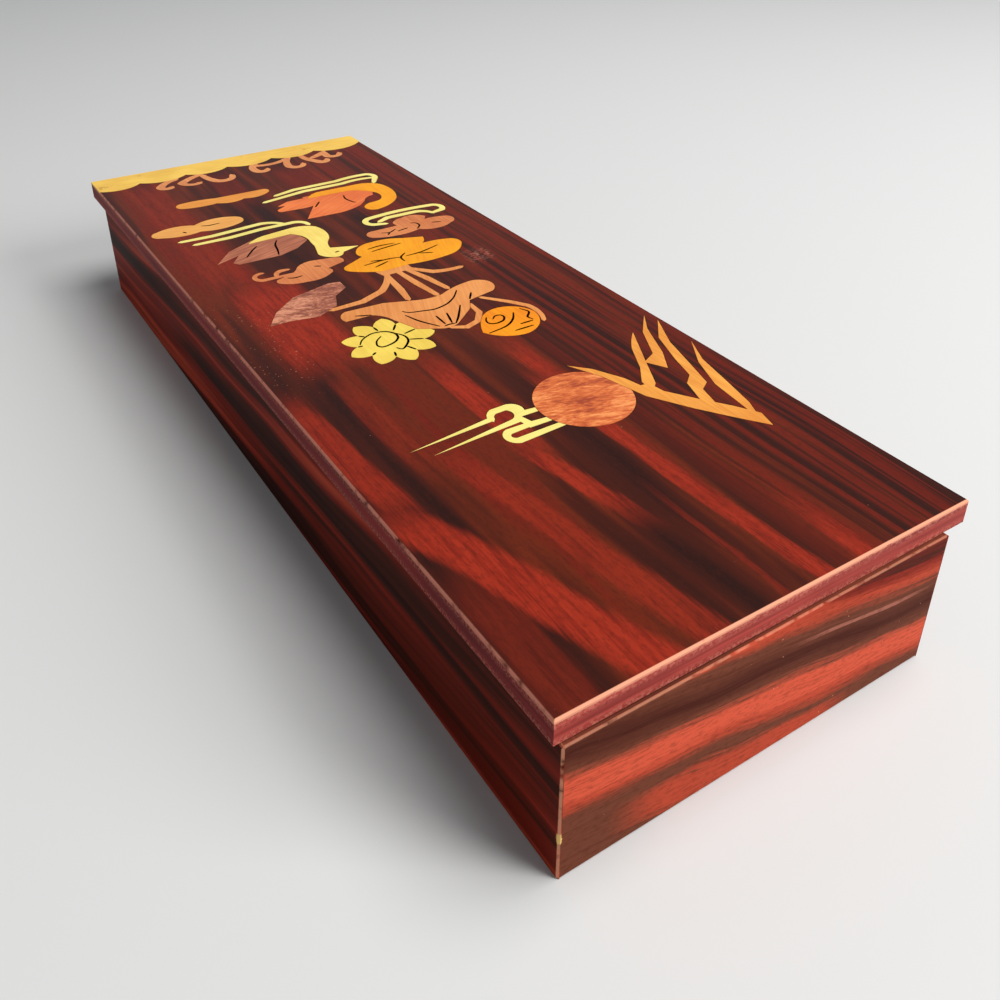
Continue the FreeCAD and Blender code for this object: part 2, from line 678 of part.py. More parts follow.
inlay("border_band", [[
    (-55, 141.0, 0.38), (-39.5, 142.6, 0.36), (-21.5, 142.9, 0.38), (-4.5, 143.3, 0.36),
    (14.5, 144.0, 0.38), (33.0, 143.6, 0.40), (55, 145.0, 0), (55, 154, 0), (-55, 154, 0),
]])
inlay("hook_scrolls", [
    band("scroll", [(-26.6, 139.6, 0.20), (-34.2, 133.6, 0.80), (-30.4, 131.6, 0)]),
    band("scroll", [(-17.2, 139.8, 0.10), (-25.8, 134.0, 0.60), (-19.8, 130.8, 0)]),
    band("scroll", [(-16.2, 138.6, 0.12), (-14.0, 130.2, 0.80), (-6.4, 132.4, 0)]),
    band("scroll", [(6.4, 140.6, 0.30), (3.6, 132.4, 0.80), (8.2, 131.8, 0)]),
    band("scroll", [(5.4, 138.2, 0.30), (18.8, 139.6, 0)]),
    band("scroll", [(20.4, 140.4, 0.15), (16.8, 130.4, 0.85), (22.8, 130.2, 0)]),
    band("scroll", [(26.0, 140.6, 0.20), (29.0, 130.2, 0.90), (33.2, 130.2, 0)]),
    band("scroll", [(29.0, 135.4, 0), (35.4, 139.0, 0), (35.2, 134.0, 0.75), (40.8, 134.8, 0)]),
], under=["border_band"])
inlay("long_cloud", [[
    (-34.2, 107.0, 0.14), (-21.6, 105.9, 0.34), (-11.5, 105.4, 0.36), (-0.6, 108.0, 0.45),
    (-1.8, 111.0, 0), (-20.4, 111.2, 0.12), (-34.0, 112.0, 0.60),
]])
inlay("twin_cloud", [[
    (-48.6, 83.9, 0.22), (-35.4, 82.7, 0.24), (-20.8, 83.4, 0.62), (-21.2, 90.0, 0.30),
    (-35.6, 89.3, 0.28), (-48.8, 89.6, 0.85),
]])
inlay("ribbon_over_bird", [
    band("ribbon", [
        (-0.6, 101.6, 0), (7.6, 103.9, 0), (25.0, 104.1, -0.10), (38.3, 105.1, -0.50), (39.4, 99.2, 0),
        (37.0, 95.2, 0),
    ]),
    band("ribbon", [(-6.6, 97.2, 0), (10.0, 100.4, 0), (26.0, 100.4, -0.14), (38.6, 100.4, 0)]),
])
inlay("ribbon_over_crane", [
    band("ribbon", [(-44.2, 77.1, 0), (-33.5, 76.6, 0), (-16.0, 78.3, -0.24), (-9.0, 74.2, 0)]),
    band("ribbon", [
        (-40.8, 72.3, 0), (-29.0, 72.1, 0), (-17.0, 73.5, 0), (-6.0, 73.4, -0.42), (-1.6, 68.9, 0),
    ]),
])
inlay("ribbon_over_cloud", [
    band("ribbon", [
        (21.4, 54.8, 0), (17.4, 56.2, -0.72), (19.0, 62.3, -0.08), (42.8, 62.2, -0.72), (44.8, 56.2, 0),
        (41.0, 55.4, 0),
    ]),
    band("ribbon", [(20.4, 57.6, 0), (24.4, 59.5, 0), (35.6, 59.3, -0.30), (40.4, 55.2, 0)]),
])
inlay("bird_neck", [[
    (8.4, 92.4, 0), (24.0, 92.0, -0.22), (32.8, 84.2, -0.30), (30.4, 77.0, -0.12),
    (26.2, 76.2, 0.20), (22.4, 73.6, 0.55), (25.4, 68.8, 0.20), (36.6, 75.6, 0.22),
    (38.2, 92.0, 0.24), (31.0, 96.6, 0), (14.0, 96.8, 0.22),
]])
inlay("bird_wing", [
    [(0.2, 73.6, 0), (13.0, 73.0, 0.10), (22.0, 76.0, 0), (25.4, 79.4, -0.30),
     (30.6, 83.0, 0), (34.0, 92.0, 0), (24.0, 95.0, 0), (7.0, 94.6, 0), (8.6, 86.6, 0)],
    [(-5.2, 84.8, 0), (4.0, 84.0, 0), (11.4, 85.0, 0), (11.2, 93.6, 0),
     (0.6, 93.4, 0), (-4.2, 90.6, 0), (-1.6, 89.6, 0), (-5.4, 87.4, 0.40)],
], under=["bird_neck"])
inlay("crane_neck", [[
    (-25.6, 63.4, 0), (-10.4, 64.0, -0.28), (-7.4, 54.0, 0), (-7.6, 50.0, 0),
    (-9.4, 43.0, 0.35), (-4.4, 37.8, 0.28), (-1.6, 40.4, 0), (4.8, 42.4, 0),
    (-3.8, 45.8, -0.16), (-0.8, 53.4, 0.22), (-0.4, 65.6, 0.24), (-7.8, 69.0, 0), (-19.0, 67.4, 0.14),
]])
inlay("crane_wing", [
    [(-40.0, 52.6, 0), (-31.0, 56.4, 0), (-16.0, 59.0, 0), (-8.8, 62.0, 0), (-12.0, 66.0, 0),
     (-24.0, 65.6, 0), (-33.6, 60.4, 0)],
    [(-34.0, 49.0, 0), (-20.0, 48.8, 0), (-13.0, 51.6, 0), (-7.4, 56.4, 0), (-8.8, 63.0, 0),
     (-26.0, 64.0, 0), (-31.6, 56.0, 0), (-35.4, 51.0, 0)],
], under=["crane_neck"])
inlay("lobed_cloud", [
    [(12.0, 45.6, 0.12), (20.0, 43.2, 0.14), (29.0, 44.4, 0), (31.4, 48.2, 0), (31.4, 51.0, 0),
     (14.0, 51.0, 0.70)],
    [(28.6, 44.6, 0.38), (41.4, 43.8, 0.62), (43.2, 50.0, 0.12), (34.6, 51.4, 0), (28.0, 50.0, 0)],
    [(24.0, 49.6, 0), (34.4, 50.6, 0), (36.6, 53.6, 0.45), (28.6, 56.6, 0.30), (23.6, 53.6, 0)],
], under=["ribbon_over_cloud"])
inlay("lotus_leaf", [[
    (-6.8, 25.4, 0.10), (2.0, 19.8, 0), (12.0, 20.0, 0.10), (26.0, 19.6, 0.24),
    (34.6, 25.2, 0.45), (34.0, 31.2, 0.12), (23.8, 32.8, 0.20), (26.6, 37.6, 0),
    (20.0, 40.2, 0.18), (9.6, 42.6, 0.30), (2.0, 38.4, 0.30), (1.8, 33.4, 0),
    (-6.0, 29.4, 0.45),
]])
inlay("curled_cloud", [
    [(-28.4, 28.4, 0.20), (-21.0, 25.4, 0.26), (-12.0, 27.4, 0.60), (-11.4, 31.2, 0),
     (-4.8, 33.4, 0.60), (-6.6, 38.0, 0), (-13.6, 39.4, 0.30), (-20.4, 35.4, 0),
     (-22.4, 33.4, 0), (-28.2, 31.4, 0.45)],
    band("thin_stem", [(-21.4, 33.2, 0), (-32.0, 33.6, -0.90), (-30.6, 38.8, 0)]),
    band("thin_stem", [(-27.2, 33.8, -0.40), (-24.8, 37.4, 0), (-22.6, 37.2, 0)]),
], under=["crane_neck"])
inlay("burl_leaf", [[
    (-41.8, 3.4, 0), (-36.0, 3.4, 0), (-27.4, 1.6, 0), (-20.2, 5.4, 0), (-17.6, 11.6, 0),
    (-12.6, 15.4, 0), (-12.4, 19.8, 0), (-16.0, 20.8, 0), (-29.0, 17.4, 0), (-37.2, 10.4, 0),
]])
inlay("folded_leaf", [[
    (-22.4, -5.6, 0), (-14.4, -5.8, -0.20), (-10.4, -12.0, 0), (-7.2, -20.6, 0), (-0.8, -24.2, 0.24),
    (4.6, -23.4, 0), (12.0, -17.4, 0), (14.8, -12.6, 0), (24.0, -10.8, 0.40),
    (26.4, -4.0, 0.32), (20.4, -1.4, 0.10), (9.8, -4.8, -0.16), (0.2, -3.8, 0), (-8.0, -0.6, 0),
    (-20.0, 0.2, 0.45),
]])
inlay("lotus_stems", [
    [(1.0, 16.4, 0), (11.4, 16.4, 0), (11.4, 20.6, 0), (0, 20.6, 0)],
    band("stem", [(2.6, 17.6, -0.12), (-4.6, 7.0, 0), (-12.6, 3.6, 0), (-22.6, 3.4, 0)]),
    band("stem", [(2.0, 17.6, 0), (0.8, 5.0, 0), (-0.4, -2.2, 0)]),
    band("stem", [(6.2, 17.2, 0), (7.2, 6.0, 0), (8.4, -4.2, 0)]),
    band("stem", [(9.2, 17.4, 0), (11.6, 8.0, 0), (13.4, -1.8, 0)]),
    band("stem", [(9.6, 18.0, 0), (15.6, 11.0, 0.12), (24.8, 9.4, 0)]),
], under=["lotus_leaf", "folded_leaf", "burl_leaf"])
inlay("lotus_flower", [
    ring_of_petals(-16.9, -22.2, 9, size("flower_radius"), math.radians(13)),
], under=["folded_leaf"])
inlay("lotus_bud", [[
    (7.2, -32.4, 0.30), (18.0, -39.4, 0.36), (26.8, -29.0, 0.36), (18.4, -21.5, 0.24), (11.6, -24.6, 0.10),
]])
inlay("bud_stem", [
    band("thin_stem", [(18.6, -13.0, 0), (24.2, -20.0, 0), (27.4, -25.0, -0.20), (26.2, -35.0, 0)]),
    band("thin_stem", [
        (13.4, -15.0, 0), (13.0, -21.0, 0), (9.8, -25.4, 0), (5.2, -27.0, 0), (1.4, -24.8, 0),
    ]),
], under=["folded_leaf", "lotus_bud"])
inlay("moon_branch", [
    [(16.0, -60.2, 0), (20.4, -69.6, 0), (23.8, -83.4, 0), (30.0, -94.2, 0),
     (36.4, -103.8, 0), (41.0, -110.2, 0), (42.6, -104.8, 0), (39.0, -98.6, 0),
     (33.8, -91.2, 0), (29.2, -84.0, 0), (28.4, -79.0, 0), (26.0, -78.6, 0),
     (24.8, -73.6, 0), (20.6, -65.2, 0)],
    [(26.4, -83.0, 0), (30.0, -79.8, 0), (35.2, -69.6, 0), (42.8, -55.0, 0.06),
     (36.4, -62.4, 0), (31.8, -71.4, 0), (27.4, -77.4, 0)],
    [(34.6, -69.8, 0), (37.8, -75.6, 0), (42.2, -68.4, 0), (47.6, -55.6, 0),
     (52.2, -48.6, 0), (45.2, -56.4, 0), (39.6, -67.4, 0)],
    [(33.2, -95.0, 0), (36.0, -96.6, 0), (38.2, -88.6, 0), (41.4, -86.6, 0),
     (44.6, -76.0, 0), (47.8, -65.0, 0), (53.6, -53.0, 0), (46.8, -61.4, 0),
     (42.6, -73.0, 0), (40.2, -81.4, 0), (36.8, -84.2, 0)],
    [(40.2, -107.4, 0), (43.6, -99.6, 0), (46.2, -88.6, 0), (48.8, -77.0, 0),
     (53.2, -67.6, 0), (46.8, -77.6, 0), (42.6, -88.4, 0)],
])
inlay("moon", [disc(10.0, -75.7, size("moon_radius"))], under=["moon_branch"])
inlay("cloud_scroll", [
    [(-38.2, -73.2, 0), (-15.0, -72.2, 0), (-13.8, -70.4, 0)],
    [(-34.0, -77.2, 0), (-8.6, -76.0, 0), (-8.0, -73.8, 0)],
    band("ribbon", [
        (-14.8, -71.6, -0.30), (-12.6, -68.7, 0), (-9.6, -68.7, -0.60), (-8.2, -73.2, 0), (-2.0, -73.6, 0),
    ]),
    band("ribbon", [(-8.8, -74.2, 0), (-8.0, -78.4, 0), (-1.4, -78.8, 0)]),
    band("ribbon", [(-6.6, -78.2, 0), (-14.2, -78.2, 0.75), (-14.0, -82.6, 0), (-0.6, -82.2, 0)]),
], under=["moon"])


# Lid: the ground veneer that the picture is let into, with softened edges

blank = body("ground_blank")
plan = rectangle(f"-1 * {EDGE_X}", EDGE_X, f"-1 * {EDGE_Y}", EDGE_Y)
pad(blank, "ground_sheet", profile(blank, "ground_plan", "XY_Plane", plan), "veneer")
doc.recompute()
soften(blank, "ground_arris", "Chamfer", "arris", lambda e: near(e.BoundBox.ZMin, size("veneer")))

ground = doc.addObject("Part::Cut", "lid_ground")
ground.Label = "lid_ground"
ground.Base = blank
ground.Tool = united("picture_openings", list(SAWN.values()))
place(ground, **on_lid(LID_TOP_SHEET))


# Check every object, then write each sub-part

def sub_parts():
    """Whatever nothing else is made from: bodies, cuts and blocks that stand by themselves."""
    inner = {"ink_slab", "ink_hollow", "ink_fall", "ground_blank"}
    bodies = [o for o in doc.Objects if o.TypeId == "PartDesign::Body" and o.Name not in inner]
    return bodies + [doc.getObject("ink_stone"), ground] + INLAYS


def main():
    doc.recompute()
    failed = [o.Name for o in doc.Objects if "Invalid" in o.State or "Error" in o.State]
    shaped = [o for o in doc.Objects if o.TypeId.startswith("Part::")]
    failed += [o.Name for o in shaped if not o.Shape.isValid()]
    if failed:
        raise RuntimeError(f"objects in error: {failed}")
    os.makedirs("parts", exist_ok=True)
    for piece in sub_parts():
        shape = piece.Shape
        if shape.isNull() or not shape.isValid() or not shape.Solids:
            raise RuntimeError(f"{piece.Label} has no valid solid")
        shape.exportStep(f"parts/{piece.Label}.step")
        print(f"{piece.Label}: {len(shape.Solids)} solid(s), {shape.Volume:.1f} mm3")


main()
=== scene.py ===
# %% [markdown]
# # Ink stick and stone box
#
# A long, low calligraphy box: a carcass of thin boards under rosewood veneer,
# a loose lid with a marquetry picture let into its top veneer, and inside it dividers, rests,
# an ink stone and an ink stick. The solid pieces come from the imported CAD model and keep
# their size. This lesson gives them their woods, draws the fine saw lines of the picture,
# lays the felt, and sets up floor, lights and camera.

# %% Load the solid pieces
import math

import bmesh
import bpy
from mathutils import Matrix, Vector


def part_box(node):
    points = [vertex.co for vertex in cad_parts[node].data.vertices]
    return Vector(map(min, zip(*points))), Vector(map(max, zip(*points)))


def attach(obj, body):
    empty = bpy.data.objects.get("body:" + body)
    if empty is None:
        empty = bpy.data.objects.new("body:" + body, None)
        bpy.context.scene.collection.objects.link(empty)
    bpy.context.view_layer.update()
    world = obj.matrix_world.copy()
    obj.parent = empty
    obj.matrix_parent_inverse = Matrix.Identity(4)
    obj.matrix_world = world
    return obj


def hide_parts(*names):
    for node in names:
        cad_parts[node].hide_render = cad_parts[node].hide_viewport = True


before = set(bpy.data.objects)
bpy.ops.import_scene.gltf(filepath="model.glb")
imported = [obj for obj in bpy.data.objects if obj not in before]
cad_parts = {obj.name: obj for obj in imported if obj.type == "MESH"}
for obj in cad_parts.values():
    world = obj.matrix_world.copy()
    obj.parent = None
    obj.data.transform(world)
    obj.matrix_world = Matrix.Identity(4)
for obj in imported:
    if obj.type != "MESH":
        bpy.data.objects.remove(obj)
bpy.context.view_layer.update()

# %% [markdown]
# ## Measures
#
# Blender works in metres, but a veneer picture is easier to think about in millimetres from
# the middle of the lid. The lid's front and back lippings say where that middle lies, so
# that everything below follows the solid pieces if their sizes change. The top veneer alone
# would give a wrong middle, because it ends where the border begins.

# %% Measures taken from the pieces
MM = 0.001
LID_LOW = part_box("lid_lipping_front")[0]
LID_HIGH = Vector((*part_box("lid_lipping_back")[1].xy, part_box("lid_ground")[1].z))
LID_MIDDLE = (LID_LOW + LID_HIGH) / 2
LID_WIDTH, LID_LENGTH = LID_HIGH.x - LID_LOW.x, LID_HIGH.y - LID_LOW.y
BOX_LOW, BOX_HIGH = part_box("left_veneer")[0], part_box("right_veneer")[1]
print("lid", round(LID_WIDTH / MM, 1), "x", round(LID_LENGTH / MM, 1), "mm")

# %% [markdown]
# ## Shader maths as ordinary expressions
#
# A wood pattern is a long sum of small masks. Wired by hand, each plus and times sign is a
# node of its own. Here a number that changes over the surface is wrapped in a small class,
# whose operators add those Math nodes, so that a pattern reads as a formula.


# %% A number on the surface
class Value:
    """A socket's number, on which ordinary operators add Math nodes."""

    def __init__(self, finish, socket):
        self.finish, self.socket = finish, socket

    def math(self, operation, other=None, first=False):
        pair = [other, self] if first else [self, other]
        sockets = {i: item for i, item in enumerate(pair) if item is not None}
        return self.finish.value("ShaderNodeMath", {"operation": operation}, sockets)

    def __add__(self, other):
        return self.math("ADD", other)

    def __sub__(self, other):
        return self.math("SUBTRACT", other)

    def __mul__(self, other):
        return self.math("MULTIPLY", other)

    def __truediv__(self, other):
        return self.math("DIVIDE", other)

    def __rsub__(self, other):
        return self.math("SUBTRACT", other, first=True)

    __radd__, __rmul__ = __add__, __mul__

    def size(self):
        return self.math("ABSOLUTE")

    def least(self, other):
        return self.math("MINIMUM", other)

    def most(self, other):
        return self.math("MAXIMUM", other)

    def rise(self, start, end):
        """0 at start, 1 at end, and smooth between them. Start may lie above end."""
        settings = {"interpolation_type": "SMOOTHSTEP", "clamp": True}
        low, high, ends = (start, end, (0, 1)) if start < end else (end, start, (1, 0))
        sockets = {
            "Value": self, "From Min": low, "From Max": high, "To Min": ends[0], "To Max": ends[1],
        }
        return self.finish.value("ShaderNodeMapRange", settings, sockets)


print("operators ready")


# %% A finish under construction
MIX_FIRST, MIX_SECOND, MIX_RESULT = 6, 7, 2  # the Mix node's colour sockets


class Finish:
    """A material, and the one method by which its nodes are added."""

    def __init__(self, name):
        self.material = bpy.data.materials.new(name)
        self.material.use_nodes = True
        self.tree = self.material.node_tree
        self.shader = self.tree.nodes["Principled BSDF"]
        place = self.node("ShaderNodeTexCoord", {}, {}).outputs["Object"]
        centre = tuple(-axis / MM for axis in LID_MIDDLE)
        shift = {"Vector": Value(self, place), "Location": centre, "Scale": (1 / MM,) * 3}
        self.place = Value(self, self.node("ShaderNodeMapping", {}, shift).outputs[0])
        split = self.node("ShaderNodeSeparateXYZ", {}, {0: self.place})
        self.across, self.along, self.up = (Value(self, split.outputs[i]) for i in range(3))

    def node(self, kind, settings, sockets):
        made = self.tree.nodes.new(kind)
        for name, setting in settings.items():
            if name == "stops":
                self.set_stops(made.color_ramp, setting)
            else:
                setattr(made, name, setting)
        for key, item in sockets.items():
            self.feed(made.inputs[key], item)
        return made

    @staticmethod
    def set_stops(ramp, stops):
        while len(ramp.elements) < len(stops):
            ramp.elements.new(1.0)
        for element, (position, colour) in zip(ramp.elements, stops):
            element.position, element.color = position, colour

    def feed(self, socket, item):
        if isinstance(item, Value):
            self.tree.links.new(item.socket, socket)
        else:
            socket.default_value = item

    def value(self, kind, settings, sockets):
        return Value(self, self.node(kind, settings, sockets).outputs[0])

    def spot(self, x, y, z):
        return self.value("ShaderNodeCombineXYZ", {}, {0: x, 1: y, 2: z})

    def noise(self, place, scale=1.0, detail=2.0, rough=0.5, bend=0.0):
        sockets = {
            "Vector": place, "Scale": scale, "Detail": detail,
            "Roughness": rough, "Distortion": bend,
        }
        return self.value("ShaderNodeTexNoise", {}, sockets)

    def mix(self, factor, first, second):
        made = self.node("ShaderNodeMix", {"data_type": "RGBA"}, {"Factor": factor})
        self.feed(made.inputs[MIX_FIRST], first)
        self.feed(made.inputs[MIX_SECOND], second)
        return Value(self, made.outputs[MIX_RESULT])

    def ramp(self, factor, stops):
        return self.value("ShaderNodeValToRGB", {"stops": stops}, {0: factor})

    def finish(self, colour, rough, bump=None, height=0.02, shine=0.5):
        """Wire up the shader. The bump's height is in millimetres."""
        self.feed(self.shader.inputs["Base Color"], colour)
        self.feed(self.shader.inputs["Roughness"], rough)
        self.shader.inputs["Specular IOR Level"].default_value = shine
        if bump is not None:
            sockets = {"Height": bump, "Strength": 1.0, "Distance": height * MM}
            relief = self.node("ShaderNodeBump", {}, sockets)
            self.tree.links.new(relief.outputs["Normal"], self.shader.inputs["Normal"])
        return self.material


print("finish class ready")

# %% [markdown]
# ## Colours
#
# Colours are easiest to judge as they look on a screen, from 0 to 255, while a shader wants
# linear light. One helper turns the first into the second.


# %% Colour helper
def seen(red, green, blue):
    """A screen colour as linear light."""
    shares = [channel / 255 for channel in (red, green, blue)]
    linear = [((s + 0.055) / 1.055) ** 2.4 if s > 0.04045 else s / 12.92 for s in shares]
    return (*linear, 1.0)


BLACK_BROWN, DARK_BROWN, WARM_BROWN = seen(36, 9, 4), seen(62, 19, 7), seen(94, 32, 12)
DULL_RED, DEEP_RED, LIT_RED = seen(102, 26, 12), seen(122, 30, 16), seen(150, 43, 24)
BRICK, SALMON = seen(178, 66, 42), seen(200, 80, 54)
END_DARK = seen(104, 54, 36)
WORN_EDGE, WORN_DULL = seen(222, 150, 118), seen(206, 128, 108)
CHIPPED = seen(224, 184, 112)
print("worn edge", [round(c, 2) for c in WORN_EDGE])

# %% [markdown]
# ## Rosewood veneer
#
# The ground is a dark veneer with red heartwood in it: close dark lines along the grain,
# and a few broad red flames. An image of a veneer would give the same, but only at one size.
# Noise stretched along the grain works at any size and makes the lines well, since a tree's
# rings are long and thin in a sawn sheet. A noise alone can't say where the flames lie, so
# each of these is a soft streak with a place, a lean and a width.


# %% Streaks
def streak(across, along, middle, lean, half, start, end, fade=12.0):
    """A soft band: its middle at along = 0, how it leans, its half width and its ends."""
    off = (across - (along * lean + middle)).size()
    body = off.rise(half * 1.25, half * 0.7)
    ends = along.rise(start - fade, start + fade) * along.rise(end + fade, end - fade)
    return body * ends


print("streak ready")


# %% Grain and dust
def grain(f, across, along, spacing, reach, seed, detail=3.0):
    """Lines along the grain: noise that is stretched, with the seed as its third axis."""
    return f.noise(f.spot(across / spacing, along / reach, seed), detail=detail, rough=0.6)


def dust(f, amount):
    """A few pale specks, as dust and tiny chips leave on a dark lacquer."""
    return f.noise(f.place, 1.3, detail=1.0, rough=0.4).rise(amount, amount + 0.03)


print("grain and dust ready")

# %% [markdown]
# ## Satin lacquer
#
# An old satin lacquer reflects little. The shader's usual gloss would lay a pale haze of the
# floor and the sky over the dark wood, so the specular level of each wood is low. Roughness
# and a bump of a few hundredths of a millimetre follow the grain.

# %% Gloss of the woods
LID_SHINE, END_SHINE, SIDE_SHINE, PLAIN_SHINE = 0.07, 0.04, 0.03, 0.06
INLAY_SHINE, BURL_SHINE = 0.12, 0.2
SATIN, GRAIN_ROUGH = 0.45, 0.14
print("satin roughness", SATIN, "to", SATIN + GRAIN_ROUGH)

# %% Flames of the lid, in millimetres from its middle
FLAMES = [
    # middle, lean, half width, start, end, strength
    (-35.0, 0.03, 10.5, -24.0, 30.0, 0.95),
    (-41.0, 0.00, 6.5, 34.0, 142.0, 0.50),
    (-56.0, -0.07, 3.8, -92.0, -40.0, 0.80),
    (-83.0, -0.335, 5.2, -175.0, -92.0, 1.00),
    (-49.0, 0.00, 5.0, -175.0, -118.0, 0.30),
    (-42.4, -0.15, 4.0, -175.0, -80.0, 0.60),
    (-40.0, -0.03, 3.0, -80.0, -36.0, 0.35),
    (-12.5, 0.00, 3.6, -86.0, -42.0, 0.95),
    (-30.7, -0.194, 2.7, -116.0, -86.0, 0.95),
    (9.8, 0.00, 3.5, -66.0, -44.0, 0.85),
    (2.0, -0.055, 2.4, -175.0, -62.0, 0.90),
    (0.4, 0.00, 0.8, -175.0, -118.0, 0.35),
    (23.0, 0.01, 2.4, -175.0, -138.0, 0.85),
    (18.0, -0.02, 8.0, 76.0, 130.0, 0.40),
    (-14.0, 0.02, 5.0, 100.0, 136.0, 0.35),
]


def flames(f, across):
    """The strongest streak at each place, so that streaks that cross don't add up."""
    red = None
    for middle, lean, half, start, end, strength in FLAMES:
        mask = streak(across, f.along, middle, lean, half, start, end) * strength
        red = mask if red is None else red.most(mask)
    return red


print("flames:", len(FLAMES))


# %% Ground of the lid
def striped_ground(f, across):
    """Broad brown bands, and closer stripes on the lid's right side."""
    broad = grain(f, across, f.along, 13.0, 230.0, 1.0)
    close = grain(f, across, f.along, 2.0, 240.0, 9.0, detail=2.0)
    stops = [(0.36, BLACK_BROWN), (0.47, DARK_BROWN), (0.55, WARM_BROWN), (0.64, DULL_RED)]
    colour = f.ramp(broad, stops)
    right_side = f.across.rise(8.0, 26.0)
    colour = f.mix(right_side * close.rise(0.47, 0.60) * 0.75, colour, DULL_RED)
    return f.mix(right_side * close.rise(0.46, 0.38) * 0.55, colour, BLACK_BROWN)


print("lid ground ready")


# %% Knot and wear of the lid
def lid_wear(f, colour):
    """A faint knot, dust, a rubbed patch, and bare wood along the edges."""
    knot = streak(f.across, f.along, 33.0, 0.1, 4.5, 11.0, 18.0, fade=4.0)
    eyes = f.noise(f.spot(f.across / 1.6, f.along / 1.1, 2.0), detail=4.0, rough=0.7)
    colour = f.mix(knot * eyes.rise(0.45, 0.62) * 0.45, colour, WORN_DULL)
    rubbed = streak(f.across, f.along, -48.0, 0.0, 9.0, -32.0, 22.0)
    colour = f.mix(dust(f, 0.83) * 0.45, colour, WORN_EDGE)
    colour = f.mix(rubbed * dust(f, 0.72) * 0.35, colour, WORN_EDGE)
    to_side = LID_WIDTH / 2 / MM - f.across.size()
    to_end = LID_LENGTH / 2 / MM - f.along.size()
    patchy = f.noise(f.place, 0.3, detail=3.0)
    bare_side = to_side.rise(0.45, 0.20) * patchy.rise(0.25, 0.5) * 0.85
    bare_end = to_end.rise(0.5, 0.3) * patchy.rise(0.16, 0.38) * 0.95
    return f.mix(bare_end, f.mix(bare_side, colour, WORN_DULL), WORN_EDGE)


print("lid wear ready")


# %% Veneer of the lid
def lid_veneer():
    f = Finish("striped_rosewood_lid")
    drift = f.noise(f.spot(f.across / 30, f.along / 90, 2.0), detail=1.0)
    across = f.across + (drift - 0.5) * 5
    ragged = grain(f, f.across, f.along, 1.3, 24.0, 5.0)
    red = flames(f, across + (ragged - 0.5) * 3.4)
    fine = grain(f, across, f.along, 0.55, 40.0, 3.0)
    mottle = grain(f, f.across, f.along, 1.8, 16.0, 8.0, detail=4.0)
    blotch = grain(f, f.across, f.along, 0.8, 2.2, 6.0)
    pores = grain(f, f.across, f.along, 0.28, 7.0, 4.0, detail=1.0).rise(0.62, 0.72)
    flame = f.mix((fine * 0.5 + mottle * 0.5).rise(0.34, 0.62), DEEP_RED, LIT_RED)
    colour = f.mix(red * fine.rise(0.18, 0.40), striped_ground(f, across), flame)
    colour = f.mix(mottle.rise(0.50, 0.32) * 0.15, colour, BLACK_BROWN)
    colour = f.mix(blotch.rise(0.52, 0.36) * 0.3, colour, DARK_BROWN)
    colour = lid_wear(f, f.mix(pores * 0.3, colour, BLACK_BROWN))
    return f.finish(colour, SATIN + fine * GRAIN_ROUGH, bump=fine, shine=LID_SHINE)


LID_VENEER = lid_veneer()
print("lid veneer nodes:", len(LID_VENEER.node_tree.nodes))

# %% [markdown]
# ## Veneer of the four sides
#
# The near end shows the same wood with bolder bands, which fall from left to right. A ramp
# over the height does this once the height is tilted: it reads as the pattern's recipe, from
# the lowest band to the highest. The long sides and the far end share a calmer figure.

# %% Bands of the near end, over the tilted height in millimetres
END_BANDS = [
    (0, END_DARK), (17, END_DARK), (20, BRICK), (22, SALMON), (26, SALMON), (28.5, END_DARK),
    (33, DARK_BROWN), (39, END_DARK), (42, BRICK), (45, DEEP_RED), (47, DARK_BROWN), (50, DULL_RED),
]
END_SLOPE = 0.15
BAND_TOP = 52.0
print("bands of the near end:", len(END_BANDS))

# %% Wear of the four sides
CHIP_UP = 11.5
CHIP_HEIGHT = CHIP_UP - LID_MIDDLE.z / MM


def off_level(f, level):
    """How far a place lies above or below a level, in millimetres."""
    return (f.up + (LID_MIDDLE.z - level) / MM).size()


def worn_corners(f, colour, strength=1.0):
    """Bare pale wood along corners, rim and foot, and a chip in the near corner."""
    right_x, left_x = (BOX_HIGH.x - LID_MIDDLE.x) / MM, (BOX_LOW.x - LID_MIDDLE.x) / MM
    back_y, front_y = (BOX_HIGH.y - LID_MIDDLE.y) / MM, (BOX_LOW.y - LID_MIDDLE.y) / MM
    side = (f.across - right_x).size().least((f.across - left_x).size())
    end = (f.along - back_y).size().least((f.along - front_y).size())
    corner = side.most(end).rise(0.55, 0.3)
    rim = off_level(f, BOX_HIGH.z).rise(0.35, 0.15)
    foot = off_level(f, BOX_LOW.z).rise(0.5, 0.2)
    patchy = f.noise(f.place, 0.3, detail=3.0).rise(0.3, 0.5)
    bare = corner.most(rim * 0.4).most(foot * 0.5) * patchy * strength
    colour = f.mix(bare, colour, WORN_EDGE)
    ragged = f.noise(f.place, 0.9) * 1.2
    chip_side = (f.across - left_x).size() + (f.along - front_y).size() + ragged
    chip = chip_side.rise(1.4, 1.1) * (f.up - CHIP_HEIGHT).size().rise(1.5, 1.2)
    return f.mix(chip, colour, CHIPPED)


print("chip", CHIP_UP, "mm above the foot")


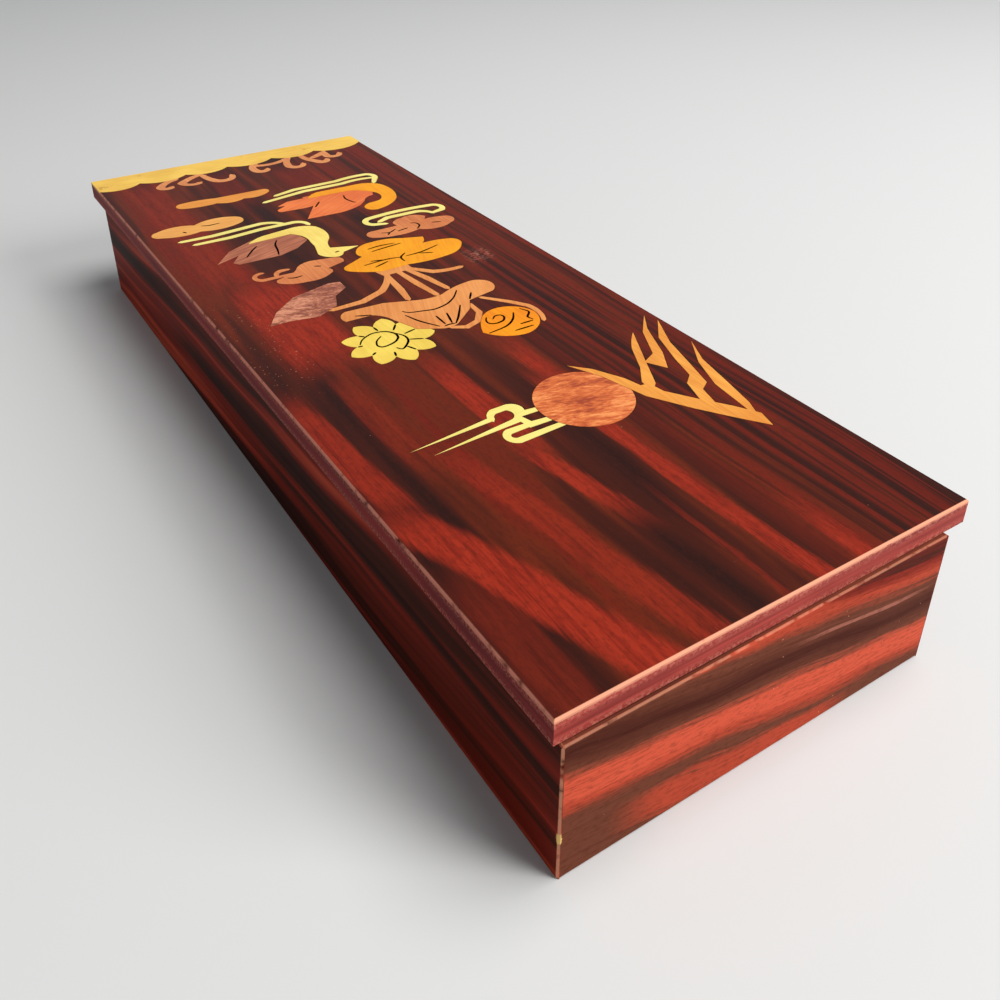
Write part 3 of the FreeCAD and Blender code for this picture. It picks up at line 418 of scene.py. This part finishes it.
# %% Veneer of the near end
def end_veneer():
    f = Finish("striped_rosewood_end")
    height = f.up + LID_MIDDLE.z / MM
    sideways = f.across + (LID_MIDDLE.x - BOX_LOW.x) / MM
    drift = f.noise(f.spot(f.across / 40, 1.0, height / 14), detail=1.0)
    tilted = height + sideways * END_SLOPE + (drift - 0.5) * 5
    ragged = f.noise(f.spot(f.across / 26, 4.0, tilted / 1.1), detail=4.0, rough=0.65)
    fine = f.noise(f.spot(f.across / 30, 6.0, tilted / 0.45), detail=3.0, rough=0.6)
    torn = tilted + (ragged - 0.5) * 8
    colour = f.ramp(torn / BAND_TOP, [(level / BAND_TOP, wood) for level, wood in END_BANDS])
    low = streak(torn, sideways, 8.0, 0.05, 4.0, 18.0, 74.0, fade=8.0)
    colour = f.mix(low * 0.9, colour, BRICK)
    thread = streak(tilted, sideways, 35.5, 0.02, 0.5, 62.0, 96.0, fade=8.0)
    colour = f.mix(thread * 0.4, colour, WORN_DULL)
    blotch = f.noise(f.spot(f.across / 2.2, 6.0, height / 0.8), detail=3.0, rough=0.6)
    colour = f.mix(blotch.rise(0.52, 0.36) * 0.3, colour, DARK_BROWN)
    colour = f.mix(fine.rise(0.5, 0.7) * 0.35, colour, DARK_BROWN)
    colour = worn_corners(f, f.mix(dust(f, 0.80) * 0.6, colour, WORN_EDGE))
    return f.finish(colour, SATIN + fine * GRAIN_ROUGH, bump=fine, shine=END_SHINE)


END_VENEER = end_veneer()
print("near end nodes:", len(END_VENEER.node_tree.nodes))


# %% Veneer of the long sides and the far end
def side_veneer(name, seed, lean):
    """A calmer figure, which rises by the lean along the box."""
    f = Finish(name)
    height = f.up + f.along * lean
    drift = f.noise(f.spot(f.along / 80, seed, height / 14), detail=1.0)
    level = height + (drift - 0.5) * 7
    broad = f.noise(f.spot(f.along / 260, f.across / 260 + seed, level / 7))
    fine = f.noise(f.spot(f.along / 40, f.across / 40, level / 0.5), detail=3.0, rough=0.6)
    stops = [
        (0.37, BLACK_BROWN), (0.44, DARK_BROWN), (0.50, DULL_RED), (0.56, DEEP_RED), (0.66, BRICK),
    ]
    colour = worn_corners(f, f.ramp(broad + (fine - 0.5) * 0.12, stops), strength=0.8)
    return f.finish(colour, SATIN + fine * GRAIN_ROUGH, bump=fine, shine=SIDE_SHINE)


LEFT_VENEER = side_veneer("striped_rosewood_left", 3.0, 0.06)
RIGHT_VENEER = side_veneer("striped_rosewood_right", 8.0, 0.02)
BACK_VENEER = side_veneer("striped_rosewood_back", 13.0, 0.0)
print("side veneers ready")

# %% [markdown]
# ## Lacquered edges and plain boards
#
# The lid's edge is a solid lipping under a red lacquer. Its corners are rubbed bare, and pale
# specks spread from them. The boards inside are a plain brown wood. A stain of one colour
# would look like paint, so both get quiet lines along the grain, but no flames.


# %% Plain woods
def plain_wood(name, light, dark, along_x=False, rough=0.5, worn_at=()):
    """A quiet wood; worn_at holds the levels of edges that are rubbed."""
    f = Finish(name)
    along, across = (f.across, f.along) if along_x else (f.along, f.across)
    lines = f.noise(f.spot(across / 1.1, along / 55, f.up / 1.1), detail=3.0, rough=0.6)
    cloud = f.noise(f.place, 0.03)
    colour = f.mix((lines * 0.7 + cloud * 0.3).rise(0.3, 0.7), dark, light)
    for level in worn_at:
        patchy = f.noise(f.place, 0.3, detail=3.0).rise(0.3, 0.5)
        colour = f.mix(off_level(f, level).rise(0.5, 0.25) * patchy * 0.8, colour, WORN_EDGE)
        specks = f.noise(f.place, 1.6, detail=3.0, rough=0.7).rise(0.42, 0.62)
        colour = f.mix(off_level(f, level).rise(2.6, 0.4) * specks * 0.5, colour, WORN_DULL)
    return f.finish(colour, rough + lines * 0.15, bump=lines, shine=PLAIN_SHINE)


print("plain wood ready")

# %% Edges and boards
EDGE_LIGHT, EDGE_DARK = seen(168, 66, 58), seen(118, 40, 36)
# Painted shade: the lippings along the lid's long sides take this darker copy of the lacquer red,
# and the end lippings take the lighter one.
SHADED_LIGHT, SHADED_DARK = seen(142, 44, 42), seen(96, 26, 28)
WALL_LIGHT, WALL_DARK = seen(124, 62, 44), seen(86, 40, 30)
BOARD_LIGHT, BOARD_DARK = seen(168, 122, 84), seen(134, 92, 62)
FITTING_LIGHT, FITTING_DARK = seen(132, 74, 52), seen(98, 50, 36)
LIPPING_ENDS = [corner.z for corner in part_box("lid_lipping_front")]
SHADED_EDGE_ALONG = plain_wood("lacquered_edge", SHADED_LIGHT, SHADED_DARK, worn_at=LIPPING_ENDS)
EDGE_ACROSS = plain_wood(
    "lacquered_edge_end", EDGE_LIGHT, EDGE_DARK, along_x=True, rough=0.4, worn_at=LIPPING_ENDS,
)
WALL_WOOD = plain_wood("stained_wall", WALL_LIGHT, WALL_DARK)
WALL_WOOD_END = plain_wood("stained_wall_end", WALL_LIGHT, WALL_DARK, along_x=True)
BOARD_WOOD = plain_wood("plain_board", BOARD_LIGHT, BOARD_DARK, rough=0.6)
FITTING_WOOD = plain_wood("fitting_wood", FITTING_LIGHT, FITTING_DARK, along_x=True)
print("lipping from", [round(level / MM, 1) for level in LIPPING_ENDS], "mm")

# %% [markdown]
# ## Inlay woods
#
# Each piece of the picture was cut from a thin sheet of some light wood, stained or left as
# it was: yellow boxwood, cream holly, orange and peach pear wood, and burl for the moon.
# They differ in colour and in how strong their lines are; the burl is a cloud of swirls.


# %% Inlay wood maker
def inlay_wood(name, light, dark, angle=0.0, contrast=0.6, stains=0.0):
    """A light wood, whose grain is turned by an angle in degrees from the lid's length."""
    f = Finish(name)
    turn = math.radians(angle)
    along = f.along * math.cos(turn) + f.across * math.sin(turn)
    across = f.across * math.cos(turn) - f.along * math.sin(turn)
    lines = grain(f, across, along, 0.8, 16, 7.0)
    cloud = f.noise(f.place, 0.07)
    tone = (lines * contrast + cloud * (1 - contrast)).rise(0.3, 0.72)
    spots = f.noise(f.place, 0.16, detail=4.0, rough=0.65).rise(0.62, 0.72)
    colour = f.mix(spots * stains, f.mix(tone, dark, light), WARM_BROWN)
    return f.finish(colour, 0.42 + lines * GRAIN_ROUGH, bump=lines, shine=INLAY_SHINE)


print("inlay wood ready")


# %% Burl maker
def burl_wood(name, light, middle, dark, scale, band):
    """Swirling burl. A band above 1 draws its swirls out across the lid."""
    f = Finish(name)
    place = f.spot(f.across / band, f.along + f.across * 0.25, 3.0)
    swirl = f.noise(place, scale, detail=6.0, rough=0.68, bend=1.2)
    broad = f.noise(place, scale * 0.3, detail=1.0)
    eyes = f.noise(place, scale * 5, detail=3.0, rough=0.6)
    tone = swirl * 0.45 + eyes * 0.25 + broad * 0.3
    colour = f.ramp(tone, [(0.40, dark), (0.49, middle), (0.58, light)])
    return f.finish(colour, 0.42 + swirl * 0.12, bump=swirl, shine=BURL_SHINE)


print("burl ready")

# %% Woods of the picture
YELLOW = inlay_wood("yellow_inlay", seen(244, 202, 92), seen(220, 170, 70), 90, 0.5, stains=0.5)
HOOK_PEACH = inlay_wood("hook_inlay", seen(226, 152, 92), seen(196, 116, 66))
LIGHT_PEACH = inlay_wood("light_peach_inlay", seen(232, 168, 88), seen(212, 142, 66), 90)
CLOUD_PEACH = inlay_wood("cloud_peach_inlay", seen(216, 134, 78), seen(184, 100, 56))
ORANGE = inlay_wood("orange_inlay", seen(232, 156, 66), seen(208, 126, 48), 90)
CREAM = inlay_wood("cream_inlay", seen(240, 226, 132), seen(222, 204, 108), 90, 0.4)
GOLD = inlay_wood("golden_inlay", seen(242, 162, 20), seen(224, 136, 14), 0, 0.5)
WING_ORANGE = inlay_wood("wing_inlay", seen(234, 128, 66), seen(206, 92, 44), 60)
CRANE_NECK = inlay_wood("crane_neck_inlay", seen(246, 222, 120), seen(226, 194, 92), 0, 0.4)
CRANE_WING = inlay_wood("crane_wing_inlay", seen(192, 118, 84), seen(134, 70, 50), 70, 0.7)
LEAF_GOLD = inlay_wood("leaf_inlay", seen(242, 162, 22), seen(222, 136, 16), 20, 0.5)
FOLD_PEACH = inlay_wood("fold_inlay", seen(226, 150, 84), seen(200, 120, 60), 20)
FLOWER_YELLOW = inlay_wood("flower_inlay", seen(240, 212, 96), seen(220, 186, 76), 0, 0.4)
BUD_ORANGE = inlay_wood("bud_inlay", seen(240, 148, 18), seen(216, 118, 14), 0, 0.5)
BRANCH_ORANGE = inlay_wood("branch_inlay", seen(232, 160, 70), seen(206, 126, 50), 0)
MOON_BURL = burl_wood(
    "moon_burl", seen(232, 146, 84), seen(200, 98, 46), seen(146, 56, 26), scale=0.32, band=3.0,
)
LEAF_BURL = burl_wood(
    "leaf_burl", seen(206, 136, 104), seen(146, 78, 54), seen(94, 42, 30), scale=0.42, band=2.0,
)
print("inlay woods ready")

# %% [markdown]
# ## Felt, stone and ink
#
# Wool felt has no threads in order, only short fibres, so two scales of noise are enough.
# The stone is a fine dark slate, rubbed smooth, and the ink stick is pressed soot: almost
# black, with a dull skin.


# %% Felt, slate and ink
def felt_finish():
    f = Finish("wine_felt")
    fibres = f.noise(f.place, 2.6, detail=3.0, rough=0.7, bend=0.8)
    cloud = f.noise(f.place, 0.05)
    tone = (fibres * 0.7 + cloud * 0.3).rise(0.3, 0.7)
    colour = f.mix(tone, seen(92, 16, 26), seen(134, 30, 40))
    return f.finish(colour, 0.92, bump=fibres, height=0.12)


def slate_finish():
    f = Finish("slate")
    specks = f.noise(f.place, 1.1, detail=4.0, rough=0.6)
    cloud = f.noise(f.place, 0.05, detail=3.0, bend=0.6)
    tone = (specks * 0.4 + cloud * 0.6).rise(0.35, 0.65)
    colour = f.mix(tone, seen(38, 40, 45), seen(66, 69, 76))
    return f.finish(colour, 0.42 + specks * 0.2, bump=specks, height=0.03)


def ink_finish():
    f = Finish("pressed_ink")
    specks = f.noise(f.place, 0.9, detail=4.0, rough=0.6)
    colour = f.mix(specks.rise(0.3, 0.7), seen(20, 20, 23), seen(42, 42, 46))
    return f.finish(colour, 0.5 + specks * 0.25, bump=specks, height=0.04)


FELT, SLATE, INK = felt_finish(), slate_finish(), ink_finish()
print("felt, slate and ink ready")

# %% [markdown]
# ## Giving each piece its wood
#
# A table from piece to finish is the easiest thing to read and to change. A piece of the
# frame keeps its mesh and gets only a new material.

# %% Dress the pieces
WOODS = {
    LID_VENEER: ["lid_ground"],
    END_VENEER: ["front_veneer"],
    LEFT_VENEER: ["left_veneer"],
    RIGHT_VENEER: ["right_veneer"],
    BACK_VENEER: ["back_veneer"],
    SHADED_EDGE_ALONG: ["lid_lipping_left", "lid_lipping_right"],
    EDGE_ACROSS: ["lid_lipping_front", "lid_lipping_back"],
    WALL_WOOD: ["left_wall", "right_wall", "long_divider"],
    WALL_WOOD_END: ["front_wall", "back_wall", "cross_divider"],
    BOARD_WOOD: [
        "bottom_board", "lid_core", "lid_back_veneer", "lid_batten_left", "lid_batten_right",
        "lid_batten_front", "lid_batten_back",
    ],
    FELT: ["floor_felt"],
    FITTING_WOOD: ["brush_rest_front", "brush_rest_back", "stick_rest_front", "stick_rest_back"],
    SLATE: ["ink_stone"],
    INK: ["ink_stick"],
    YELLOW: ["border_band"],
    HOOK_PEACH: ["hook_scrolls"],
    ORANGE: ["long_cloud"],
    LIGHT_PEACH: ["twin_cloud"],
    CREAM: ["ribbon_over_bird", "ribbon_over_crane", "ribbon_over_cloud", "cloud_scroll"],
    GOLD: ["bird_neck"],
    WING_ORANGE: ["bird_wing"],
    CRANE_NECK: ["crane_neck"],
    CRANE_WING: ["crane_wing"],
    CLOUD_PEACH: ["lobed_cloud", "curled_cloud"],
    LEAF_GOLD: ["lotus_leaf"],
    LEAF_BURL: ["burl_leaf"],
    FOLD_PEACH: ["folded_leaf", "lotus_stems", "bud_stem"],
    FLOWER_YELLOW: ["lotus_flower"],
    BUD_ORANGE: ["lotus_bud"],
    BRANCH_ORANGE: ["moon_branch"],
    MOON_BURL: ["moon"],
}
for wood, names in WOODS.items():
    for name in names:
        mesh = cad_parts[name].data
        mesh.materials.clear()
        mesh.materials.append(wood)
dressed = {name for names in WOODS.values() for name in names}
print("not dressed:", sorted(set(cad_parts) - dressed))

# %% [markdown]
# ## From a bmesh to an object
#
# Three things here are shaped anew: the felt, the saw lines and the floor. Each starts as a
# bmesh, which holds only a shape, and ends as an object with a name and a finish. One helper
# does this last step for all.


# %% Object helper
def placed(name, shape, wood):
    """Turn a shape into an object of this name and finish, and put it into the scene."""
    data = bpy.data.meshes.new(name)
    shape.to_mesh(data)
    shape.free()
    data.materials.append(wood)
    piece = bpy.data.objects.new(name, data)
    bpy.context.scene.collection.objects.link(piece)
    return piece


print("object helper ready")

# %% [markdown]
# ## The felt on the floor
#
# The felt is a sheet of cloth, cut square and laid flat. A plain slab would look like paint,
# and a cloth simulation would find nothing to do on a flat floor. So a finely divided slab
# gets a slow ripple of a few hundredths of a millimetre, which is enough to catch light.

# %% Lay the felt
FELT_LOW, FELT_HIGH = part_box("floor_felt")
FELT_WIDTH, FELT_LENGTH = FELT_HIGH.x - FELT_LOW.x, FELT_HIGH.y - FELT_LOW.y
FELT_STEP = 3 * MM
RIPPLE = 0.04 * MM
WAVES_X, WAVES_Y = 210, 170  # radians per metre


def felt_sheet():
    """A slab with the felt's size, finely divided, whose upper face ripples a little."""
    felt = bmesh.new()
    steps_x, steps_y = round(FELT_WIDTH / FELT_STEP), round(FELT_LENGTH / FELT_STEP)
    bmesh.ops.create_grid(felt, x_segments=steps_x, y_segments=steps_y, size=0.5)
    bmesh.ops.scale(felt, verts=felt.verts[:], vec=(FELT_WIDTH, FELT_LENGTH, 1))
    upward = bmesh.ops.extrude_face_region(felt, geom=felt.faces[:])
    raised = [item for item in upward["geom"] if isinstance(item, bmesh.types.BMVert)]
    for vert in raised:
        ripple = math.sin(vert.co.x * WAVES_X) * math.sin(vert.co.y * WAVES_Y + 1)
        vert.co.z += FELT_HIGH.z - FELT_LOW.z + RIPPLE * (ripple - 1)
    middle = (FELT_LOW + FELT_HIGH) / 2
    bmesh.ops.translate(felt, verts=felt.verts[:], vec=(middle.x, middle.y, FELT_LOW.z))
    bmesh.ops.recalc_face_normals(felt, faces=felt.faces[:])
    return placed("felt_sheet", felt, FELT)


felt_piece = felt_sheet()
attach(felt_piece, "box")
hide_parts("floor_felt")
print("felt", round(FELT_WIDTH / MM, 1), "x", round(FELT_LENGTH / MM, 1), "mm")

# %% [markdown]
# ## Saw lines of the picture
#
# Veins, folds and feathers aren't pieces of their own. The maker sawed a thin line into a
# piece before it was laid, and dark glue filled the cut. Each line starts here as a chain of
# edges, is subdivided and smoothed, and is then pulled sideways into a ribbon that narrows to
# its ends. Given a thickness, it sits in the wood with its face a hair above it.

# %% A chain in order
LINE_WIDTH = 0.7 * MM
LINE_DEPTH = 0.3 * MM
PROUD = 0.012 * MM
LINE_CUTS, LINE_SMOOTHINGS = 4, 4
TIP_SHARE = 0.6  # of the width that is left at a line's ends


def walk(line):
    """The vertices of a chain in order, from one loose end to the other."""
    chain, previous = [next(v for v in line.verts if len(v.link_edges) == 1)], None
    while True:
        nexts = [e.other_vert(chain[-1]) for e in chain[-1].link_edges]
        nexts = [v for v in nexts if v is not previous]
        if not nexts:
            return chain
        previous = chain[-1]
        chain.append(nexts[0])


def half_widths(chain):
    """For each vertex, the way to the ribbon's left edge."""
    sides = []
    for i, vert in enumerate(chain):
        ahead, behind = chain[min(i + 1, len(chain) - 1)], chain[max(i - 1, 0)]
        along = (ahead.co - behind.co).normalized()
        swell = TIP_SHARE + (1 - TIP_SHARE) * math.sin(math.pi * i / (len(chain) - 1))
        sides.append(Vector((-along.y, along.x, 0)) * LINE_WIDTH / 2 * swell)
    return sides


print("line", round(LINE_WIDTH / MM, 2), "mm wide")


# %% From a chain of edges to a filled saw cut
def saw_line(spots):
    """A mesh of one filled cut through a few places on the lid, in millimetres."""
    line = bmesh.new()
    corners = [line.verts.new((x * MM, y * MM, 0)) for x, y in spots]
    for pair in zip(corners, corners[1:]):
        line.edges.new(pair)
    bmesh.ops.subdivide_edges(line, edges=line.edges[:], cuts=LINE_CUTS)
    chain = walk(line)
    for _ in range(LINE_SMOOTHINGS):
        bmesh.ops.smooth_vert(line, verts=chain[1:-1], factor=0.5, use_axis_x=True, use_axis_y=True)
    sides = half_widths(chain)
    where = {tuple(vert.co): side for vert, side in zip(chain, sides)}
    made = bmesh.ops.extrude_edge_only(line, edges=line.edges[:])
    for vert in [item for item in made["geom"] if isinstance(item, bmesh.types.BMVert)]:
        vert.co += where[tuple(vert.co)]
    for vert, side in zip(chain, sides):
        vert.co -= side
    bmesh.ops.solidify(line, geom=line.faces[:], thickness=LINE_DEPTH)
    bmesh.ops.recalc_face_normals(line, faces=line.faces[:])
    rise = LID_HIGH.z + PROUD - max(vert.co.z for vert in line.verts)
    bmesh.ops.translate(line, verts=line.verts[:], vec=(LID_MIDDLE.x, LID_MIDDLE.y, rise))
    mesh = bpy.data.meshes.new("saw_line")
    line.to_mesh(mesh)
    line.free()
    return mesh


print("saw line ready")


# %% All lines of one piece
def saw_lines(name, lines, wood):
    """All filled cuts of one piece, as one object that moves with the lid."""
    together = bmesh.new()
    for spots in lines:
        mesh = saw_line(spots)
        together.from_mesh(mesh)
        bpy.data.meshes.remove(mesh)
    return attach(placed(name, together, wood), "lid")


def glue_finish(name, light, dark):
    f = Finish(name)
    crumbs = f.noise(f.place, 1.2)
    return f.finish(f.mix(crumbs.rise(0.3, 0.7), dark, light), 0.5)


DARK_GLUE = glue_finish("dark_glue", seen(84, 52, 22), seen(60, 36, 16))
RUSTY_GLUE = glue_finish("rusty_glue", seen(128, 60, 22), seen(96, 42, 16))
print("glue ready")

# %% Lines of the lotus
FOLDED_LEAF_LINES = [
    [(-18.6, -3.8), (-16.6, -4.9), (-14.4, -5.7)],
    [
        (-5.8, -8.5), (-4.6, -10.4), (0.1, -11.6), (2.9, -12.6),
        (8.0, -11.4), (11.9, -8.5), (14.9, -4.8),
    ],
    [(17.8, -8.5), (15.1, -12.2)],
    [(-6.2, -11.2), (-4.6, -16.7), (-1.1, -22.6)],
    [(1.1, -16.3), (0.9, -22.2)],
    [(4.7, -16.3), (2.9, -22.6)],
    [(10.7, -14.0), (6.4, -20.3), (3.7, -23.4)],
    [(0.1, -23.2), (1.7, -22.9), (3.7, -23.3)],
]
FLOWER_LINES = [
    [
        (-25.1, -20.3), (-23.5, -17.9), (-19.6, -15.8),
        (-15.6, -16.7), (-13.7, -19.5), (-14.1, -22.2),
        (-16.4, -24.2), (-20.4, -25.0), (-21.5, -23.4), (-20.4, -20.7), (-18.0, -18.9),
    ],
    [(-13.7, -19.5), (-12.1, -22.2), (-12.5, -25.4), (-16.3, -29.1), (-17.4, -27.0)],
]
FLOWER_X, FLOWER_Y = -16.9, -22.2
PETALS, FIRST_NOTCH, NOTCH_RADIUS = 9, 13, 9.3
RING_RADIUS, RING_SHIFT = 6.6, 1.3
for petal in range(PETALS):
    turn = math.radians(FIRST_NOTCH + petal * 360 / PETALS)
    ring = RING_RADIUS - RING_SHIFT * math.cos(turn)
    FLOWER_LINES.append([
        (FLOWER_X + reach * math.cos(turn), FLOWER_Y + reach * math.sin(turn))
        for reach in (NOTCH_RADIUS, ring)
    ])
BUD_LINES = [
    [
        (12.9, -25.0), (11.5, -27.0), (11.5, -28.9), (13.5, -29.9), (16.3, -29.3), (17.6, -27.4),
        (17.3, -25.8), (15.5, -25.4), (13.9, -27.0),
    ],
    [(21.2, -26.6), (19.0, -30.1), (15.1, -32.9), (8.4, -33.7)],
    [(24.1, -25.4), (25.7, -28.5), (24.1, -30.1), (23.0, -31.1), (23.7, -33.3)],
    [(15.5, -36.3), (21.8, -36.3)],
    [(19.0, -33.7), (23.3, -33.7)],
]
LEAF_LINES = [
    [(11.9, 22.8), (11.9, 26.3), (15.1, 28.7)],
    [(11.9, 26.3), (8.0, 27.5), (-0.7, 26.7)],
    [(6.4, 27.5), (2.5, 28.5)],
    [(7.2, 25.6), (1.7, 23.6)],
    [(14.3, 26.3), (19.8, 26.3), (27.3, 28.7)],
    [(19.0, 25.9), (23.0, 24.0)],
    [(6.0, 37.8), (10.4, 38.5), (15.9, 37.8)],
    [(6.4, 35.4), (12.7, 36.2), (17.8, 36.6)],
]
saw_lines("folded_leaf_lines", FOLDED_LEAF_LINES, RUSTY_GLUE)
saw_lines("lotus_flower_lines", FLOWER_LINES, DARK_GLUE)
saw_lines("lotus_bud_lines", BUD_LINES, DARK_GLUE)
saw_lines("lotus_leaf_lines", LEAF_LINES, RUSTY_GLUE)
print("lotus lines:", sum(map(len, (FOLDED_LEAF_LINES, FLOWER_LINES, BUD_LINES, LEAF_LINES))))

# %% Lines of the birds and clouds
BIRD_LINES = [
    [(10.7, 87.1), (8.8, 84.8), (7.2, 82.7)],
    [(21.0, 88.3), (19.8, 84.7), (21.0, 80.1), (21.8, 79.1)],
]
CRANE_EYE = [(-4.1, 41.3), (-3.3, 41.6), (-2.5, 41.6)]
CRANE_WING_LINES = [
    [(-23.9, 60.2), (-27.0, 57.0), (-30.0, 53.1)],
    [(-16.4, 61.4), (-18.4, 58.2), (-19.2, 53.5), (-20.4, 49.6)],
]
LOBED_CLOUD_LINES = [
    [(16.3, 48.0), (18.6, 46.4), (21.8, 48.4)],
    [(18.6, 46.4), (17.4, 45.2)],
    [(21.8, 46.4), (26.1, 47.2)],
    [(28.9, 50.7), (30.8, 49.6), (31.0, 47.2), (28.5, 44.7)],
    [(35.6, 47.2), (38.7, 46.0)],
]
CURLED_CLOUD_LINES = [
    [(-25.1, 31.1), (-23.1, 29.9), (-20.4, 30.3)],
    [(-14.4, 35.0), (-12.5, 33.8)],
]
TWIN_CLOUD_LINES = [
    [(-40.8, 85.5), (-40.0, 83.9)],
    [(-33.7, 87.5), (-31.4, 86.3), (-27.4, 86.7)],
]
saw_lines("bird_wing_lines", BIRD_LINES, RUSTY_GLUE)
saw_lines("crane_wing_lines", CRANE_WING_LINES, RUSTY_GLUE)
saw_lines("crane_eye", [CRANE_EYE], DARK_GLUE)
saw_lines("lobed_cloud_lines", LOBED_CLOUD_LINES, RUSTY_GLUE)
saw_lines("curled_cloud_lines", CURLED_CLOUD_LINES, RUSTY_GLUE)
saw_lines("twin_cloud_lines", TWIN_CLOUD_LINES, RUSTY_GLUE)
print("bird and cloud lines done")

# %% [markdown]
# ## Floor and light
#
# The box stands on a plain pale floor. A large lamp at the front right lights the near end,
# a second one high up lights the top, and the long left side stays in shade. One lamp right
# above would be simpler, but would leave the near end as dark as the side. A weak, even sky
# fills the rest: it is pale where the camera or a gloss looks at it, and lights little.

# %% Floor
FLOOR_SIZE = 12.0
pale = bpy.data.materials.new("pale_floor")
pale.use_nodes = True
pale.node_tree.nodes["Principled BSDF"].inputs["Base Color"].default_value = seen(206, 206, 204)
pale.node_tree.nodes["Principled BSDF"].inputs["Roughness"].default_value = 0.9
plane = bmesh.new()
bmesh.ops.create_grid(plane, x_segments=1, y_segments=1, size=FLOOR_SIZE / 2)
placed("floor", plane, pale)
print("floor", FLOOR_SIZE, "m")

# %% Sky
SKY_LIGHT, SKY_SEEN = 0.22, 0.86
world = bpy.data.worlds.new("soft_sky")
bpy.context.scene.world = world
world.use_nodes = True
nodes, links = world.node_tree.nodes, world.node_tree.links
sky = nodes["Background"]
sky.inputs["Color"].default_value = seen(232, 236, 242)
rays = nodes.new("ShaderNodeLightPath")
looked_at = rays.outputs["Is Camera Ray"]
for kind in ("Is Glossy Ray", "Is Transmission Ray"):
    either = nodes.new("ShaderNodeMath")
    either.operation = "MAXIMUM"
    links.new(looked_at, either.inputs[0])
    links.new(rays.outputs[kind], either.inputs[1])
    looked_at = either.outputs[0]
strength = nodes.new("ShaderNodeMapRange")
strength.inputs["To Min"].default_value = SKY_LIGHT
strength.inputs["To Max"].default_value = SKY_SEEN
links.new(looked_at, strength.inputs["Value"])
links.new(strength.outputs["Result"], sky.inputs["Strength"])
print("sky", SKY_LIGHT, "seen as", SKY_SEEN)


# %% Lamps
def area_lamp(name, place, width, watts):
    """A round lamp, turned to the foot of the box, which stands at the origin."""
    data = bpy.data.lights.new(name, "AREA")
    data.shape, data.size, data.energy = "DISK", width, watts
    lamp = bpy.data.objects.new(name, data)
    facing = Vector(place).to_track_quat("Z", "Y")
    lamp.matrix_world = Matrix.Translation(place) @ facing.to_matrix().to_4x4()
    bpy.context.scene.collection.objects.link(lamp)
    return lamp


key = area_lamp("key_lamp", (0.75, -1.15, 0.75), width=0.8, watts=20)
top = area_lamp("top_lamp", (0.5, -0.3, 1.5), width=1.1, watts=20)
print("lamps", key.data.energy, top.data.energy)

# %% [markdown]
# ## Camera
#
# The camera stands close in front of the near left corner and looks down along the box. Its
# place and its three directions come from matching the lid's and the box's corners; the
# small downward shift keeps the box framed as it is without tilting the camera.

# %% Camera
EYE = Vector((-123.6, -241.5, 177.0)) * MM
LOOK_RIGHT = Vector((0.84023, -0.54224, 0.00115))
LOOK_DOWN = Vector((-0.26432, -0.41144, -0.87227))
FOCAL_SHARE = 1.018
SHIFT = (0.0, -0.147)
right = LOOK_RIGHT.normalized()
back = right.cross(-LOOK_DOWN).normalized()
upward = back.cross(right)
camera_data = bpy.data.cameras.new("camera")
camera_data.lens = camera_data.sensor_width * FOCAL_SHARE
camera_data.shift_x, camera_data.shift_y = SHIFT
camera_data.clip_start = 0.01
camera = bpy.data.objects.new("camera", camera_data)
turn = Matrix((right, upward, back)).transposed()
camera.matrix_world = Matrix.Translation(EYE) @ turn.to_4x4()
bpy.context.scene.collection.objects.link(camera)
bpy.context.scene.camera = camera
bpy.context.scene.view_settings.view_transform = "Standard"
print("lens", round(camera_data.lens, 2), "mm")
